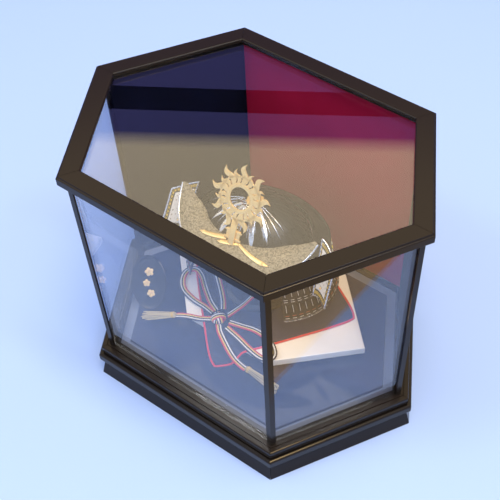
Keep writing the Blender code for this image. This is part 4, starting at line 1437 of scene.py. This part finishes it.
@dataclass
class Studio:
    """The pale floor, the soft light and the camera."""

    right: Triple = (0.82102, 0.57062, 0.01772)
    upward: Triple = (-0.46287, 0.64718, 0.60573)
    where: Triple = (0.39685, -0.48789, 0.86407)
    lens: float = 65.545
    shift: Pair = (-0.132, 0.1334)
    paper_half: float = 12000.0
    # The table's corners and its height, in millimetres.
    table: tuple[Pair, ...] = (
        (165, -165), (165, -700), (900, -700), (900, 316), (408, -6), (223, -127))
    table_top: float = 0.3
    # A line of sight along the ceiling's edge, and the direction towards the room's back.
    ceiling_edge: Triple = (-0.5148, 0.5453, 0.6613)
    backwards: Triple = (-0.571, 0.821, 0.0)
    # Each lamp: its name, place, size, power and colour.
    hung: tuple[tuple[str, tuple[float, ...], float, float, tuple[float, ...]], ...] = (
        ("key", (0.45, -0.15, 2.3), 0.8, 57.0, (1.0, 0.69, 0.30)),
        ("side", (1.3, -0.9, 2.6), 1.6, 22.0, (1.0, 1.0, 1.0)),
        ("fill", (-1.4, -1.5, 2.2), 1.6, 6.0, (1.0, 1.0, 1.0)),
        ("edge_front", (-0.86, -1.14, 2.35), 0.35, 14.0, (1.0, 0.97, 0.92)),
        ("edge_right", (1.30, 0.08, 2.45), 0.35, 14.0, (1.0, 0.97, 0.92)))
    # What the lamps point at.
    aim: Triple = (0.0, 0.0, 0.1)

    def camera(self) -> None:
        """Set up the camera."""
        data = bpy.data.cameras.new("camera")
        data.lens = self.lens
        data.sensor_width = 36.0
        data.shift_x, data.shift_y = self.shift
        data.clip_start, data.clip_end = 0.01, 50.0
        made = bpy.data.objects.new("camera", data)
        across, above = Vector(self.right), Vector(self.upward)
        turn = Matrix((across, above, across.cross(above))).transposed().to_4x4()
        made.matrix_world = Matrix.Translation(self.where) @ turn
        bpy.context.scene.collection.objects.link(made)
        bpy.context.scene.camera = made

    def floor(self) -> None:
        """Lay the pale paper floor and the strip of table beyond it."""
        bm = bmesh.new()
        bmesh.ops.create_grid(bm, x_segments=4, y_segments=4, size=self.paper_half)
        # Pale blue background paper: matt, even.
        paper = Finish("pale_blue_paper", "#8aa6e0", 0.9).build()
        new_mesh("floor_paper", bm, [paper])
        # The wooden table beyond the paper's near edge shows only as a reflection in the case.
        bm = bmesh.new()
        bm.faces.new([bm.verts.new((x, y, self.table_top)) for x, y in self.table])
        table = Finish("oiled_wood_table", "#9c8a6c", 0.7).build()
        edge = new_mesh("table_edge", bm, [table])
        edge.visible_camera = edge.visible_shadow = edge.visible_diffuse = False

    def sky(self) -> None:
        """Light the room: pale all round, a warm ceiling behind and above, dim low at the back."""
        world = bpy.data.worlds.new("studio")
        bpy.context.scene.world = world
        world.use_nodes = True
        tree = world.node_tree
        shader = tree.nodes["Background"]
        ray = add_node(tree, "TexCoord").outputs["Generated"]
        # How far a direction lies above the ceiling's edge, which runs level across the back.
        edge = Vector(self.ceiling_edge).cross(Vector(self.right)).normalized()
        edge = edge if edge.z > 0 else -edge
        height = add_node(tree, "VectorMath", {0: ray, 1: edge}, operation="DOT_PRODUCT")
        back = add_node(tree, "VectorMath", {
            0: ray, 1: Vector(self.backwards)}, operation="DOT_PRODUCT")
        behind = add_node(tree, "MapRange", {
            "Value": back.outputs["Value"], "From Min": 0.05, "From Max": 0.45})
        open_air = add_node(tree, "Mix", {
            0: behind.outputs[0], 6: (0.80, 0.92, 1.10, 1), 7: (0.16, 0.15, 0.45, 1)}, data_type="RGBA")
        band = add_node(tree, "Math", {
            0: height.outputs["Value"], 1: -0.040, 2: 0.012}, operation="COMPARE")
        clear = add_node(tree, "Math", {
            0: band.outputs[0], 1: behind.outputs[0]}, operation="MULTIPLY")
        dimmed = add_node(tree, "Mix", {
            0: clear.outputs[0], 6: open_air.outputs[2], 7: (0.0, 0.0, 0.0, 1)}, data_type="RGBA")
        begin = add_node(tree, "MapRange", {
            "Value": height.outputs["Value"], "From Min": -0.006, "From Max": 0.010})
        fade = add_node(tree, "MapRange", {
            "Value": height.outputs["Value"], "From Min": 0.30, "From Max": 0.55,
            "To Min": 1.0, "To Max": 0.0})
        warm = add_node(tree, "Math", {
            0: begin.outputs[0], 1: fade.outputs[0]}, operation="MULTIPLY")
        whole = add_node(tree, "Mix", {
            0: warm.outputs[0], 6: dimmed.outputs[2], 7: (2.0, 1.64, 1.10, 1)}, data_type="RGBA")
        tree.links.new(whole.outputs[2], shader.inputs["Color"])
        shader.inputs["Strength"].default_value = 1.0

    def lamps(self) -> None:
        """Hang a warm lamp overhead, two broad soft ones and two small ones that draw the edges."""
        for name, at, size, power, colour in self.hung:
            data = bpy.data.lights.new(name, "AREA")
            data.shape = "SQUARE"
            data.size = size
            data.energy = power
            data.color = colour
            lamp = bpy.data.objects.new(name, data)
            lamp.location = at
            lamp.rotation_mode = "QUATERNION"
            lamp.rotation_quaternion = (Vector(at) - Vector(self.aim)).to_track_quat("Z", "Y")
            bpy.context.scene.collection.objects.link(lamp)

    def build(self) -> None:
        """Set up floor, light and colour."""
        self.floor()
        self.sky()
        self.lamps()
        bpy.context.scene.view_settings.view_transform = "Standard"


def main() -> None:
    """Build everything in order."""
    logging.basicConfig(level=logging.INFO, format="%(name)s: %(message)s")
    studio = Studio()
    studio.camera()
    stock = Stock()
    Bow(stock).build()
    Cloth(stock).build()
    GlazedCase(stock).dress()
    helmet = Helmet(stock)
    helmet.build()
    SunCrest(stock, helmet).build()
    Plaque(stock).build()
    studio.build()


if __name__ == "__main__":
    main()
